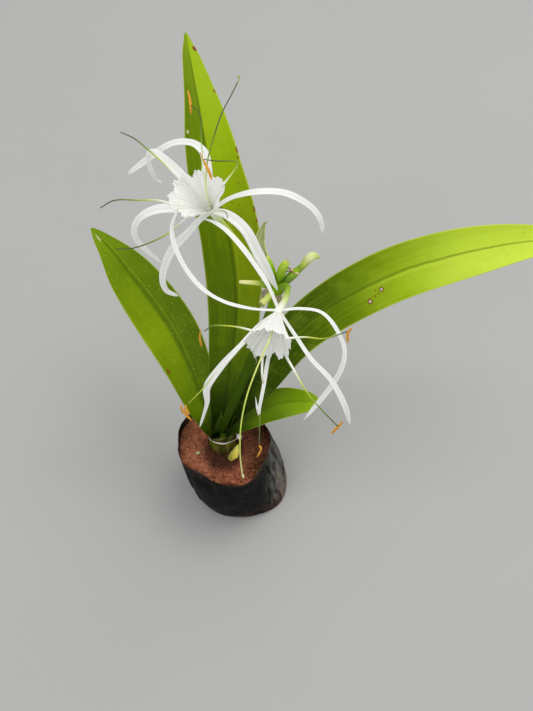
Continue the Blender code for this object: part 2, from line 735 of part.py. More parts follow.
def make_corona(name, design, collection, parent):
    shape = bmesh.new()
    rings = []
    for row in range(CORONA_ROWS + 1):
        ring = []
        for angle in angles_round(CORONA_SIDES):
            point = corona_point(design, row / CORONA_ROWS, angle)
            ring.append(shape.verts.new(Vector(point) * MM))
        rings.append(ring)
    for low, high in zip(rings, rings[1:]):
        for index in range(CORONA_SIDES):
            after = (index + 1) % CORONA_SIDES
            shape.faces.new((low[index], low[after], high[after], high[index]))
    bmesh.ops.triangulate(shape, faces=shape.faces)
    mesh = bpy.data.meshes.new(name)
    shape.to_mesh(mesh)
    shape.free()
    corona = add_object(name, mesh, collection, parent=parent)
    wall = corona.modifiers.new("wall", "SOLIDIFY")
    wall.thickness = CORONA_WALL * MM
    wall.offset = 0.0
    return corona


def make_tepal(name, tepal, collection, parent):
    route = even_route(tepal["points"], TEPAL_STATIONS)
    normals = carried_normals(route, tepal["face"], np.full(TEPAL_STATIONS, tepal["roll"]))
    widths = smooth_profile(TEPAL_SHARES, TEPAL_STATIONS) * tepal["width"]
    thick = np.full(TEPAL_STATIONS, TEPAL_THICKNESS)
    mesh = blade_mesh(name, route, normals, widths, thick, TEPAL_CHANNEL, 2)
    return add_object(name, mesh, collection, parent=parent)


def make_stamen(name, stamen, design, collection, parent):
    """A filament that leaves the funnel's wall, and its anther across the tip."""
    angle = math.radians(stamen["rim_angle"])
    wall = [corona_point(design, share, angle) for share in FILAMENT_ROOTS]
    route = (*wall, *stamen["points"])
    radii = ((0.0, FILAMENT_RADIUS), (0.5, FILAMENT_RADIUS), (1.0, 0.8 * FILAMENT_RADIUS))
    pieces = [rod(name, route, radii, FILAMENT_STATIONS, collection, parent, roundness=0)]
    if stamen["anther"]:
        first, last = stamen["anther"]
        through = (first, stamen["points"][-1], last)
        sizes = ((0.0, 0.5 * ANTHER_RADIUS), (0.2, ANTHER_RADIUS), (0.8, ANTHER_RADIUS),
                 (1.0, 0.5 * ANTHER_RADIUS))
        pieces.append(rod(name + "_anther", through, sizes, ANTHER_STATIONS, collection, parent))
    return pieces


def tube_start(direction, throat):
    """The tube's foot just off the knob, in the bloom's own frame."""
    lean = Matrix.Rotation(HEAD_TILT, 3, "X")
    knob = lean.transposed() @ (Vector(UMBEL_CENTRE) - Vector(throat))
    return np.array(knob + Vector(direction).normalized() * (KNOB_RADIUS + CLEARANCE))


def make_bloom(name, design, collection, material):
    """One flower, fused: tube, six tepals, funnel, six stamens and style."""
    frame = add_head_frame(name + "_frame", collection, design["throat"])
    foot = tube_start(design["tube_foot"], design["throat"])
    top = unit(np.array(design["axis"])) * 4.0
    line = (foot, *design["tube"], (0, 0, 0), top)
    radii = ((0.0, 0.85 * TUBE_RADIUS), (0.5, TUBE_RADIUS), (0.9, 1.25 * TUBE_RADIUS),
             (1.0, 1.35 * TUBE_RADIUS))
    bloom = rod(name, line, radii, TUBE_STATIONS, collection, frame, roundness=2)
    pieces = [make_corona(name + "_corona", design, collection, frame)]
    for index, tepal in enumerate(design["tepals"]):
        pieces.append(make_tepal(f"{name}_tepal_{index}", tepal, collection, frame))
    for index, stamen in enumerate(design["stamens"]):
        pieces.extend(make_stamen(f"{name}_stamen_{index}", stamen, design, collection, frame))
    style_line = (np.zeros(3), *design["style"])
    style_radii = ((0.0, STYLE_RADIUS), (0.9, STYLE_RADIUS), (1.0, 1.5 * STYLE_RADIUS))
    pieces.append(rod(name + "_style", style_line, style_radii, STYLE_STATIONS, collection, frame,
                      roundness=0))
    fuse(bloom, pieces)
    bloom.data.materials.clear()
    bloom.data.materials.append(material)
    return bloom


# Buds, spent tube and bracts, in the leaning frame at the knob

def from_knob(direction, *rest):
    """Points that start just off the knob's surface and go on through the rest."""
    start = np.array(Vector(direction).normalized() * (KNOB_RADIUS + CLEARANCE))
    return (start, *rest)


BUDS = {
    "bud_slender": {
        "points": from_knob((-0.20, 0.97, 0.15), (-6, 17, 3), (-7.5, 23, 4)),
        "radii": ((0.0, 1.5), (0.5, 2.7), (0.85, 1.8), (1.0, 0.7)),
    },
    "bud_ovoid": {
        "points": from_knob((0.15, 0.72, 0.68), (3.4, 12, 9.5), (7, 18.5, 11.5)),
        "radii": ((0.0, 1.6), (0.4, 3.3), (0.8, 3.0), (1.0, 1.6)),
    },
    "bud_clubbed": {
        "points": from_knob((0.85, 0.42, 0.18), (10, 8, 3), (17, 14, 6), (23, 21, 8), (28, 22, 8),
                            (31, 18, 6)),
        "radii": ((0.0, 1.6), (0.3, 2.5), (0.55, 1.9), (0.8, 3.1), (1.0, 0.9)),
    },
    "spent_tube": {
        "points": from_knob((-0.60, -0.65, 0.45), (-8, -9, 6), (-12, -13, 8)),
        "radii": ((0.0, 1.8), (0.5, 2.2), (1.0, 2.4)),
    },
    "bud_cream": {
        "points": from_knob((-0.98, 0.12, 0.12), (-14, 3, 1), (-28, 4, 1)),
        "radii": ((0.0, 1.7), (0.35, 2.1), (0.8, 1.3), (1.0, 0.8)),
    },
}

BRACTS = {
    "spathe_upright": {
        "points": from_knob((-0.40, 0.80, -0.45), (-10, 20, -8), (-13, 34, -8), (-9, 48, -6)),
        "widths": ((0.0, 4.0), (0.4, 7.4), (0.8, 5.6), (1.0, 1.2)),
        "face": (0.0, 0.0, 1.0),
    },
    "spathe_left": {
        "points": from_knob((-0.80, -0.30, -0.50), (-10, -5, -8), (-11, -12, -13)),
        "widths": ((0.0, 3.5), (0.5, 5.0), (1.0, 1.6)),
        "face": (-0.4, 0.3, 0.8),
    },
    "spathe_lower": {
        "points": from_knob((0.20, -0.90, -0.35), (2, -12, -4), (2, -20, -9)),
        "widths": ((0.0, 3.5), (0.5, 5.5), (1.0, 2.0)),
        "face": (0.0, 0.3, 1.0),
    },
}


def make_head_pieces(collection, materials):
    frame = add_head_frame("umbel_frame", collection, UMBEL_CENTRE)
    for name, bud in BUDS.items():
        piece = rod(name, bud["points"], bud["radii"], BUD_STATIONS, collection, frame, roundness=2)
        piece.data.materials.append(materials[name])
    for name, bract in BRACTS.items():
        route = even_route(bract["points"], BRACT_STATIONS)
        normals = carried_normals(route, bract["face"], np.zeros(BRACT_STATIONS))
        widths = smooth_profile(bract["widths"], BRACT_STATIONS)
        thick = np.full(BRACT_STATIONS, BRACT_THICKNESS)
        mesh = blade_mesh(name, route, normals, widths, thick, BRACT_CHANNEL, BLADE_COLUMNS)
        mesh.materials.append(materials[name])
        add_object(name, mesh, collection, parent=frame)


def main():
    clear_scene()
    lily = make_collection("potted_spider_lily")
    cutters = make_collection("cutters")
    make_bag(lily, make_material("black_film", BLACK_FILM, 0.42))
    make_soil(lily, cutters, make_material("red_soil", RED_SOIL, 0.95))
    make_bulb(lily, make_material("neck_green", NECK_GREEN, 0.55))
    make_tie_band(lily, make_material("band_pink", BAND_PINK, 0.6))
    make_dead_sheath(lily, make_material("dry_yellow", DRY_YELLOW, 0.7))
    leaf_material = make_material("leaf_green", LEAF_GREEN, 0.4)
    for name, design in LEAVES.items():
        make_leaf(name, design, lily, leaf_material)
    make_scape(lily, make_material("scape_green", SCAPE_GREEN, 0.5))
    petal_material = make_material("petal_white", PETAL_WHITE, 0.5)
    make_bloom("bloom_upper", UPPER_BLOOM, lily, petal_material)
    make_bloom("bloom_lower", LOWER_BLOOM, lily, petal_material)
    bud_material = make_material("bud_green", BUD_GREEN, 0.5)
    papery_material = make_material("papery_brown", PAPERY_BROWN, 0.8)
    head_materials = {name: bud_material for name in BUDS}
    head_materials["bud_cream"] = make_material("cream", CREAM, 0.5)
    head_materials.update({name: papery_material for name in BRACTS})
    make_head_pieces(lily, head_materials)


main()
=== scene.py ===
"""Potted spider lily: the visual model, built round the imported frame.

Lengths are in millimetres, and MM turns them into Blender's metres, in which the materials'
places on the object are. Colours are 0 to 255 screen values. The part's own main points are
repeated here, because this script reads nothing but the frame.
"""

import math

import bmesh
import bpy
import numpy as np
from mathutils import Matrix, Vector, noise


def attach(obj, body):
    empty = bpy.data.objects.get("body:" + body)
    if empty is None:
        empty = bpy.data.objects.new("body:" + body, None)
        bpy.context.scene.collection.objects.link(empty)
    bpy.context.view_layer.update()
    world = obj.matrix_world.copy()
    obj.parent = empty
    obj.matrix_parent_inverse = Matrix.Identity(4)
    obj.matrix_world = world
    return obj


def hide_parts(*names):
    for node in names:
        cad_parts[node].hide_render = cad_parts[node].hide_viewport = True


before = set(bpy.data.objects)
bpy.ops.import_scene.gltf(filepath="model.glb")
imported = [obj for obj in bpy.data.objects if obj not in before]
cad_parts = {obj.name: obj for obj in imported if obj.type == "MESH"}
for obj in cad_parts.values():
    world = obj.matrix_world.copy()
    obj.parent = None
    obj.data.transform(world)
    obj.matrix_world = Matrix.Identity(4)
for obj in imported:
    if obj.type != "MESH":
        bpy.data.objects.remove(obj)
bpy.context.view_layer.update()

MM = 0.001
TURN = 2.0 * math.pi


# Smooth lines through a few points

def smooth_points(points, per_span=24):
    """A Catmull-Rom line through the points."""
    knots = np.array(points, dtype=float)
    around = np.vstack([2.0 * knots[0] - knots[1], knots, 2.0 * knots[-1] - knots[-2]])
    line = []
    for span in range(len(knots) - 1):
        a, b, c, d = around[span:span + 4]
        for step in range(per_span):
            t = step / per_span
            bend = (2.0 * a - 5.0 * b + 4.0 * c - d) * t ** 2
            turn = (3.0 * b - a - 3.0 * c + d) * t ** 3
            line.append(0.5 * (2.0 * b + (c - a) * t + bend + turn))
    line.append(knots[-1])
    return np.array(line)


def even_route(points, stations):
    """Stations evenly spaced along the smooth line through the points."""
    line = smooth_points(points)
    steps = np.linalg.norm(np.diff(line, axis=0), axis=1)
    along = np.concatenate([[0.0], np.cumsum(steps)])
    marks = np.linspace(0.0, along[-1], stations)
    return np.stack([np.interp(marks, along, line[:, axis]) for axis in range(3)], axis=1)


def smooth_profile(pairs, stations):
    """A value at each station, from a few pairs of place along the limb and value."""
    line = smooth_points(pairs)
    places = np.maximum.accumulate(line[:, 0])
    return np.interp(np.linspace(0.0, 1.0, stations), places, line[:, 1])


def unit(vector):
    return vector / np.linalg.norm(vector)


def tangents_of(route):
    ways = np.gradient(route, axis=0)
    return ways / np.linalg.norm(ways, axis=1)[:, None]


def rolled(normal, way, roll):
    return np.array(Matrix.Rotation(math.radians(roll), 3, Vector(way)) @ Vector(normal))


def facing_normals(route, facing, rolls):
    """Normals that turn the blade's face to one side, each then rolled about the route."""
    ways = tangents_of(route)
    return np.array([rolled(unit(facing - way * np.dot(facing, way)), way, roll)
                     for way, roll in zip(ways, rolls)])


def carried_normals(route, facing, rolls):
    """Normals carried along a curling route without a twist of their own, then rolled."""
    normals = []
    carried = np.array(facing, dtype=float)
    for way, roll in zip(tangents_of(route), rolls):
        carried = unit(carried - way * np.dot(carried, way))
        normals.append(rolled(carried, way, roll))
    return np.array(normals)


def noise_at(points, size, seed):
    """Smooth noise from -1 to 1 at each point, with features about size millimetres wide."""
    flat = np.reshape(points, (-1, 3)) / size + seed
    values = [noise.noise(Vector(place)) for place in flat]
    return np.array(values).reshape(np.shape(points)[:-1])


# Meshes from grids of points

# The way a rod's rings first face, the least angle through which a blade's section turns, and the
# reach of a blade's groove and keel as shares of its half width
ROD_FACING = (0.3, 0.2, 1.0)
LEAST_TURN = 0.02
GROOVE_REACH = 0.07
KEEL_REACH = 0.10


class Builder:
    """Collects grids of points into one mesh, with UVs and an under value at each point."""

    def __init__(self):
        self.points = []
        self.under = []
        self.faces = []
        self.corners = []
        self.count = 0

    def grid(self, points, places, under=None, ring=True, loop=False, caps=True, turns=0.0):
        """Rows of points; a ring joins each row's ends, and a loop joins the last row to the first."""
        rows, columns = points.shape[:2]
        index = np.arange(rows * columns).reshape(rows, columns)
        row_here = index if loop else index[:-1]
        row_next = np.roll(index, -1, axis=0) if loop else index[1:]
        column_count = columns if ring else columns - 1
        flat = places.reshape(-1, 2)
        blocks = []
        uvs = []
        for rows_of, shift in ((row_here, 0), (row_here, 1), (row_next, 1), (row_next, 0)):
            taken = np.roll(rows_of, -shift, axis=1)[:, :column_count]
            uv = flat[taken].copy()
            if ring and shift:
                uv[:, -1, 0] += turns
            blocks.append(taken)
            uvs.append(uv)
        quads = np.stack(blocks, axis=-1).reshape(-1, 4)
        self.faces.extend((quads + self.count).tolist())
        self.corners.append(np.stack(uvs, axis=2).reshape(-1, 2))
        if caps and ring and not loop:
            for end in (index[0][::-1], index[-1]):
                self.faces.append((end + self.count).tolist())
                self.corners.append(flat[end])
        self.points.append(points.reshape(-1, 3))
        self.under.append(np.zeros(rows * columns) if under is None else under.reshape(-1))
        self.count += rows * columns

    def solid(self, points, faces):
        """A small closed shape of triangles."""
        self.faces.extend((faces + self.count).tolist())
        self.corners.append(np.zeros((faces.size, 2)))
        self.points.append(points)
        self.under.append(np.zeros(len(points)))
        self.count += len(points)

    def mesh(self, name, smooth=True):
        mesh = bpy.data.meshes.new(name)
        mesh.from_pydata((np.vstack(self.points) * MM).tolist(), [], self.faces)
        layer = mesh.uv_layers.new(name="UVMap")
        layer.data.foreach_set("uv", np.vstack(self.corners).ravel())
        side = mesh.attributes.new("under", "FLOAT", "POINT")
        side.data.foreach_set("value", np.concatenate(self.under))
        shape = bmesh.new()
        shape.from_mesh(mesh)
        bmesh.ops.recalc_face_normals(shape, faces=shape.faces)
        shape.to_mesh(mesh)
        shape.free()
        mesh.polygons.foreach_set("use_smooth", [smooth] * len(mesh.polygons))
        return mesh


def add_piece(name, builder, material, slot, *nodes, smooth=True):
    """A piece of the visual model, riding on the part's one body in place of the CAD nodes."""
    mesh = builder.mesh(name, smooth)
    mesh.materials.append(material)
    piece = bpy.data.objects.new(name, mesh)
    bpy.context.scene.collection.objects.link(piece)
    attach(piece, "root")
    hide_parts(*nodes)
    return piece


def grid_places(across, along):
    """UVs of a grid: across its columns and along its rows."""
    return np.stack(np.broadcast_arrays(across[None, :], along[:, None]), axis=-1).copy()


def ring_places(rows, columns):
    """UVs of a rod: across and back over its girth, and along it."""
    return grid_places(np.abs(2.0 * np.arange(columns) / columns - 1.0), np.linspace(0.0, 1.0, rows))


def round_angles(count):
    return np.arange(count) * TURN / count


def add_grid(name, material, slot, node, *grid, **form):
    """A piece made of one grid of points."""
    builder = Builder()
    builder.grid(*grid, **form)
    add_piece(name, builder, material, slot, node)


def add_shell(name, points, shares, inner_rows, material, slot, node):
    """A piece of closed rings, with the last rows on its inner side and shares as its v."""
    rows, columns = points.shape[:2]
    under = np.repeat([0.0, 1.0], [rows - inner_rows, inner_rows])
    add_grid(name, material, slot, node, points, grid_places(np.arange(columns) / columns, shares),
             np.broadcast_to(under[:, None], (rows, columns)), turns=1.0)


def rod_grid(route, radii, sides, normals=None, ribs=0, rib_depth=0.0, flatness=1.0):
    """Rings round a rod, with ribs along it where they are asked for."""
    if normals is None:
        normals = carried_normals(route, ROD_FACING, np.zeros(len(route)))
    angles = round_angles(sides)
    swell = 1.0 + rib_depth * np.cos(ribs * angles)
    side_ways = np.cross(tangents_of(route), normals)
    out = (normals[:, None, :] * (flatness * np.sin(angles) * swell)[None, :, None]
           + side_ways[:, None, :] * (np.cos(angles) * swell)[None, :, None])
    return route[:, None, :] + out * np.asarray(radii)[:, None, None]


def add_rod(builder, points, radii, stations, sides, to_world=None, v_span=(0.0, 1.0), **looks):
    """Puts a rod along the smooth line into the builder. Its v runs over v_span."""
    route = even_route(points, stations)
    sizes = smooth_profile(radii, stations)
    grid = rod_grid(route, sizes, sides, **looks)
    if to_world:
        grid = to_world(grid)
    places = ring_places(stations, sides)
    places[..., 1] = v_span[0] + (v_span[1] - v_span[0]) * places[..., 1]
    builder.grid(grid, places)


def blade_grid(route, normals, widths, turns, thick, columns, groove=0.0, keel=0.0,
               edge=0.35, ripple=0.0):
    """Rings round a blade whose section is an arc, upper side first; also its UVs and sides.

    turns gives the angle by which the section has turned at each edge, and ripple a lift
    for each row and column.
    """
    spread = np.linspace(-1.0, 1.0, columns + 1)
    sides = np.cross(tangents_of(route), normals)
    sides /= np.linalg.norm(sides, axis=1)[:, None]
    turns = np.maximum(np.broadcast_to(turns, len(route)), LEAST_TURN)
    thick = np.broadcast_to(thick, len(route))
    radius = widths / 2.0 / np.sin(np.minimum(turns, math.pi / 2.0))
    angle = spread[None, :] * turns[:, None]
    across = radius[:, None] * np.sin(angle)
    lift = radius[:, None] * (1.0 - np.cos(angle)) + ripple
    middle = (route[:, None, :] + sides[:, None, :] * across[..., None]
              + normals[:, None, :] * lift[..., None])
    face = (normals[:, None, :] * np.cos(angle)[..., None]
            - sides[:, None, :] * np.sin(angle)[..., None])
    taper = edge + (1.0 - edge) * (1.0 - np.abs(spread) ** 2.5)
    half = thick[:, None] * taper[None, :] / 2.0
    scale = np.minimum(widths / np.max(widths), 1.0)[:, None]
    dip = groove * np.exp(-(spread / GROOVE_REACH) ** 2)[None, :] * scale
    swell = keel * np.exp(-(spread / KEEL_REACH) ** 2)[None, :] * scale
    upper = middle + face * (half - dip)[..., None]
    lower = middle - face * (half + swell)[..., None]
    points = np.concatenate([upper, lower[:, ::-1]], axis=1)
    u = (spread + 1.0) / 2.0
    places = grid_places(np.concatenate([u, u[::-1]]), np.linspace(0.0, 1.0, len(route)))
    under = np.broadcast_to(np.repeat([0.0, 1.0], columns + 1)[None, :], points.shape[:2])
    return points, places, under


# Materials from nodes

def shade(colour):
    """A colour of 0 to 255 screen values, as linear light."""
    parts = (value / 255.0 for value in colour)
    return tuple(v / 12.92 if v <= 0.04045 else ((v + 0.055) / 1.055) ** 2.4 for v in parts)


class Graph:
    """Builds one material's nodes in short calls.

    A value is a number, a socket or a colour, and a colour is named by its 0 to 255 screen values.
    """

    def __init__(self, name, roughness=0.5, **constants):
        self.material = bpy.data.materials.new(name)
        self.material.use_nodes = True
        self.tree = self.material.node_tree
        self.shader = self.tree.nodes["Principled BSDF"]
        self.shader.inputs["Roughness"].default_value = roughness
        for key, value in constants.items():
            self.shader.inputs[key.replace("_", " ")].default_value = value
        self.place = self.made("ShaderNodeTexCoord", {})["Object"]
        self.uv = self.made("ShaderNodeUVMap", {}, uv_map="UVMap")[0]
        self.u, self.v, _ = self.split(self.uv)
        self.colour = None

    def made(self, kind, values, **settings):
        """The outputs of a new node, once its settings and its inputs have their values."""
        node = self.tree.nodes.new(kind)
        for key, value in settings.items():
            setattr(node, key, value)
        for key, value in values.items():
            self.put(value, node.inputs[key])
        return node.outputs

    def put(self, value, socket):
        if isinstance(value, bpy.types.NodeSocket):
            self.tree.links.new(value, socket)
        else:
            socket.default_value = (*shade(value), 1.0) if socket.type == "RGBA" else value

    def under(self):
        """1 on a blade's lower side and 0 on its upper side."""
        return self.made("ShaderNodeAttribute", {}, attribute_name="under")["Fac"]

    def split(self, vector):
        return self.made("ShaderNodeSeparateXYZ", {0: vector})

    def work(self, operation, *values):
        return self.made("ShaderNodeMath", dict(enumerate(values)), operation=operation)[0]

    def times(self, first, second):
        return self.work("MULTIPLY", first, second)

    def fade(self, value, start, end):
        """0 at start, 1 at end, smooth between."""
        values = dict(enumerate((value, start, end, 0.0, 1.0)))
        return self.made("ShaderNodeMapRange", values, interpolation_type="SMOOTHSTEP")[0]

    def near(self, value, centre, reach):
        """1 where the value is at the centre, and 0 from reach away."""
        return self.fade(self.work("ABSOLUTE", self.work("SUBTRACT", value, centre)), reach, 0.0)

    def away(self, pair, centre, reach=(1.0, 1.0)):
        """The squared distance of a pair of values from a centre, each measured in its own reach."""
        parts = [self.work("DIVIDE", self.work("SUBTRACT", value, middle), size)
                 for value, middle, size in zip(pair, centre, reach)]
        return self.work("ADD", *(self.times(part, part) for part in parts))

    def spot(self, centre, reach):
        """1 at the middle of an oval mark, named by its place and reach on the UVs, and 0 outside."""
        return self.fade(self.away((self.u, self.v), centre, reach), 1.0, 0.55)

    def mix(self, share, first, second, blend="MIX"):
        values = {0: share, 6: first, 7: second}
        return self.made("ShaderNodeMix", values, data_type="RGBA", blend_type=blend)[2]

    def ramp(self, value, stops):
        made = self.tree.nodes.new("ShaderNodeValToRGB")
        self.put(value, made.inputs[0])
        places = made.color_ramp.elements
        while len(places) < len(stops):
            places.new(0.5)
        for place, (where, colour) in zip(places, stops):
            place.position = where
            place.color = (*shade(colour), 1.0)
        return made.outputs[0]

    def stretched(self, vector, x, y, z=1.0):
        return self.made("ShaderNodeMapping", {"Vector": vector, "Scale": (x, y, z)})[0]

    def noise(self, vector, scale, detail=2.0, roughness=0.5):
        values = {"Vector": vector, "Scale": scale, "Detail": detail, "Roughness": roughness}
        return self.made("ShaderNodeTexNoise", values)[0]

    def fibres(self, across, along, detail=2.0, roughness=0.5):
        """Noise on the UVs, with this many features across the piece and along it."""
        return self.noise(self.stretched(self.uv, across, along), 1.0, detail, roughness)

    def bump(self, height, strength, distance, below=None):
        values = {"Height": height, "Strength": strength, "Distance": distance * MM}
        if below is not None:
            values["Normal"] = below
        return self.made("ShaderNodeBump", values)[0]

    def tint(self, share, strength, colour, blend="MIX"):
        """Lays a colour over what is there, by a share from 0 to 1 times a strength."""
        self.colour = self.mix(self.times(share, strength), self.colour, colour, blend)

    def mottle(self, value, start, end, strength, colour, blend="MIX"):
        """Lays a colour over what is there, from none where the value is at start to all at end."""
        self.tint(self.fade(value, start, end), strength, colour, blend)

    def finish(self, normal, roughness=None):
        for key, value in (("Base Color", self.colour), ("Roughness", roughness), ("Normal", normal)):
            if value is not None:
                self.put(value, self.shader.inputs[key])
        return self.material


# Camera, floor and light

CAMERA_PLACE = (27.0, -333.0, 833.0)
CAMERA_TILT = math.radians(29.9)
CAMERA_LENS = 43.04
SENSOR_WIDTH = 36.0
CAMERA_RANGE = (0.02, 20.0)
FLOOR_SPAN = 5000.0
FLOOR_LEVEL = -0.05
FLOOR_LINES = 9
KEY_PLACE = (520.0, 520.0, 2000.0)
KEY_AIM = (30.0, 40.0, 150.0)
KEY_SIZE = 1100.0
KEY_POWER = 15.0
KEY_COLOUR = (1.0, 0.98, 0.94)
FILL_PLACE = (-1100.0, -1300.0, 1500.0)
FILL_SIZE = 1500.0
FILL_POWER = 5.0
FILL_COLOUR = (0.94, 0.97, 1.0)
SKY = (0.985, 0.992, 1.0)
SKY_STRENGTH = 0.72


def add_camera():
    data = bpy.data.cameras.new("photo_camera")
    data.lens = CAMERA_LENS
    data.sensor_width = SENSOR_WIDTH
    data.sensor_fit = "AUTO"
    data.clip_start, data.clip_end = CAMERA_RANGE
    camera = bpy.data.objects.new("photo_camera", data)
    bpy.context.scene.collection.objects.link(camera)
    camera.location = Vector(CAMERA_PLACE) * MM
    camera.rotation_euler = (CAMERA_TILT, 0.0, 0.0)
    bpy.context.scene.camera = camera


def floor_material():
    graph = Graph("pale_floor", roughness=0.85)
    cloud = graph.noise(graph.place, 6.0, 4.0)
    grain = graph.noise(graph.place, 420.0, 2.0)
    graph.colour = graph.mix(graph.times(cloud, 0.5), (184, 184, 181), (174, 175, 174))
    graph.tint(grain, 0.25, (163, 164, 164))
    return graph.finish(graph.bump(grain, 0.25, 0.4))


def add_floor():
    line = np.linspace(-FLOOR_SPAN / 2.0, FLOOR_SPAN / 2.0, FLOOR_LINES)
    across, back = np.meshgrid(line, line)
    points = np.stack([across, back, np.full_like(across, FLOOR_LEVEL)], axis=-1)
    builder = Builder()
    builder.grid(points, points[..., :2] / FLOOR_SPAN + 0.5, ring=False, caps=False)
    mesh = builder.mesh("floor")
    mesh.materials.append(floor_material())
    floor = bpy.data.objects.new("floor", mesh)
    bpy.context.scene.collection.objects.link(floor)


def add_area_light(name, place, aim, size, power, colour):
    data = bpy.data.lights.new(name, "AREA")
    data.shape = "DISK"
    data.size = size * MM
    data.energy = power
    data.color = colour
    light = bpy.data.objects.new(name, data)
    bpy.context.scene.collection.objects.link(light)
    light.location = Vector(place) * MM
    way = Vector(aim) - Vector(place)
    light.rotation_euler = way.to_track_quat("-Z", "Y").to_euler()


def add_light():
    world = bpy.data.worlds.new("soft_sky")
    world.use_nodes = True
    background = world.node_tree.nodes["Background"]
    background.inputs["Color"].default_value = (*SKY, 1.0)
    background.inputs["Strength"].default_value = SKY_STRENGTH
    bpy.context.scene.world = world
    add_area_light("key", KEY_PLACE, KEY_AIM, KEY_SIZE, KEY_POWER, KEY_COLOUR)
    add_area_light("fill", FILL_PLACE, KEY_AIM, FILL_SIZE, FILL_POWER, FILL_COLOUR)
    bpy.context.scene.view_settings.view_transform = "Standard"


# Grow bag and soil, from the part's own values

BAG_HEIGHT = 91.0
BAG_BOTTOM_RADIUS = 46.0
BAG_RIM_RADIUS = 44.0
BAG_BULGE = 2.0
BAG_LEAN = -15.0
BAG_CORNER = 6.0
BAG_CORNER_IN = 3.0
BAG_FOLDS = (1.3, 0.9)
BAG_PINCH = 6.0
BAG_PINCH_ANGLE = math.radians(-31.0)
BAG_RIM_DENTS = ((math.radians(-125.0), -7.0, 20), (math.radians(-62.0), 4.0, 12))
BAG_RIM_DIPS = ((math.radians(-62.0), -5.0, 8), (math.radians(-135.0), 2.0, 12),
                (math.radians(80.0), 2.0, 4))
# Each long crease: angle, lean over the height, how far it stands out, reach, lowest and highest share
BAG_CREASES = (
    (-28.0, 0.10, 0.9, 0.035, 0.05, 1.05), (-12.0, -0.15, 0.7, 0.030, 0.25, 1.1),
    (6.0, 0.12, 0.8, 0.040, 0.15, 1.1), (-48.0, -0.25, -0.6, 0.050, 0.30, 1.1),
    (-95.0, 0.35, 0.5, 0.040, 0.20, 0.85), (-140.0, -0.20, 0.7, 0.045, 0.10, 1.1),
    (-172.0, 0.15, 0.6, 0.040, 0.30, 1.1), (60.0, 0.20, 0.8, 0.050, 0.10, 1.1),
    (105.0, -0.30, 0.7, 0.040, 0.05, 0.90), (140.0, 0.20, -0.6, 0.060, 0.20, 1.1),
)
CREASE_FADE = 0.15
# The film's noises, each with its height, size and seed, and how far the upright ones are squeezed
SOFT_DENTS = ((0.7, 17.0, 4.0),)
UPRIGHT_FOLDS = ((0.45, 8.5, 9.0),)
UPRIGHT_SQUEEZE = (1.0, 1.0, 0.22)
FINE_CREASES = ((4.0, 7.0, 33.0),)
FINE_SQUEEZE = (1.0, 1.0, 0.35)
FINE_HEIGHT = 0.18
RIM_TEARS = ((0.9, 7.0, 2.0), (0.3, 2.2, 5.0))
# The film sinks in by this much on the whole, and is calm below this height
FILM_SINK = 0.2
FOOT_CALM = 4.0
# The plain cylinder on which the film's noise is drawn
WRAP_RADIUS = 45.0
# The film turns up and down with its rim from this height
RIM_BEND_FROM = 70.0
FILM = 0.35
BAG_SIDES = 300
BAG_ROWS = 96
INNER_LEVELS = (89.0, 87.0, 85.0, 83.0, 81.0, 78.0, 70.0, 45.0, 15.0, 1.0)
SOIL_TOP = 82.0
SOIL_MOUND = 3.5
SOIL_MOUND_AWAY = 20.0
SOIL_MOUND_SPREAD = 16.0
# The lumps of the soil, each with its height, size and seed, and the level at which they are drawn
SOIL_NOISE = ((1.6, 9.0, 0.0), (1.5, 4.4, 11.0), (0.7, 2.1, 15.0))
SOIL_NOISE_LEVEL = 27.0
SOIL_SIDES = 300
SOIL_RINGS = 96
SOIL_GAP = 0.3
SOIL_SIDE_LEVELS = (2.0, 10.0, 30.0, 50.0, 68.0, 76.0)
SOIL_CENTRE = np.array((BAG_LEAN * SOIL_TOP / BAG_HEIGHT, 0.0))
CRUMBS = 1500
CRUMB_SEED = 7
CRUMB_SIZES = (0.45, 2.35)
CRUMB_RARENESS = 3.5
CRUMB_STRETCH = (0.65, 1.25)
CRUMB_KNOBS = 0.32
CRUMB_LIFT = 0.25
# How far crumbs stay from the film, and from the neck's middle across and back
CRUMB_INSET = 1.3
CRUMB_CLEAR = (14.0, 10.5)
# Each hollow in the soil: where it is, how deep and how wide
SOIL_HOLLOWS = ((-15.0, -4.0, 5.0, 16.0), (-55.0, 12.0, 3.5, 16.0), (20.0, 18.0, 2.0, 14.0))
NECK_CENTRE = (-15.0, 3.0)


def swells(places, angle):
    """The sum of rounded swellings, each centred on its own angle."""
    return sum(size * np.maximum(0.0, np.cos(angle - centre)) ** sharp
               for centre, size, sharp in places)


def bag_radius(height, angle):
    share = height / BAG_HEIGHT
    plain = BAG_BOTTOM_RADIUS + (BAG_RIM_RADIUS - BAG_BOTTOM_RADIUS) * share
    bulge = BAG_BULGE * np.sin(math.pi * share)
    folds = BAG_FOLDS[0] * np.cos(3.0 * angle + 0.6) + BAG_FOLDS[1] * np.cos(5.0 * angle - 1.0)
    low = np.clip(1.0 - height / BAG_CORNER, 0.0, 1.0)
    corner = BAG_CORNER_IN * (1.0 - np.sqrt(1.0 - low ** 2))
    pinch = BAG_PINCH * np.maximum(0.0, np.cos(angle - BAG_PINCH_ANGLE)) ** 10 * (1.0 - share) ** 2
    dents = swells(BAG_RIM_DENTS, angle) * share ** 3
    return plain + bulge + folds * (0.5 + 0.5 * share) - corner + pinch + dents


def layered_noise(points, layers):
    """Several noises in one, each with its height, size and seed."""
    return sum(height * noise_at(points, size, seed) for height, size, seed in layers)


def on_cylinder(height, angle):
    """Places on a plain cylinder, for noise that runs round the bag without a seam."""
    around = (np.cos(angle) * WRAP_RADIUS, np.sin(angle) * WRAP_RADIUS, height)
    return np.stack(np.broadcast_arrays(*around), axis=-1)


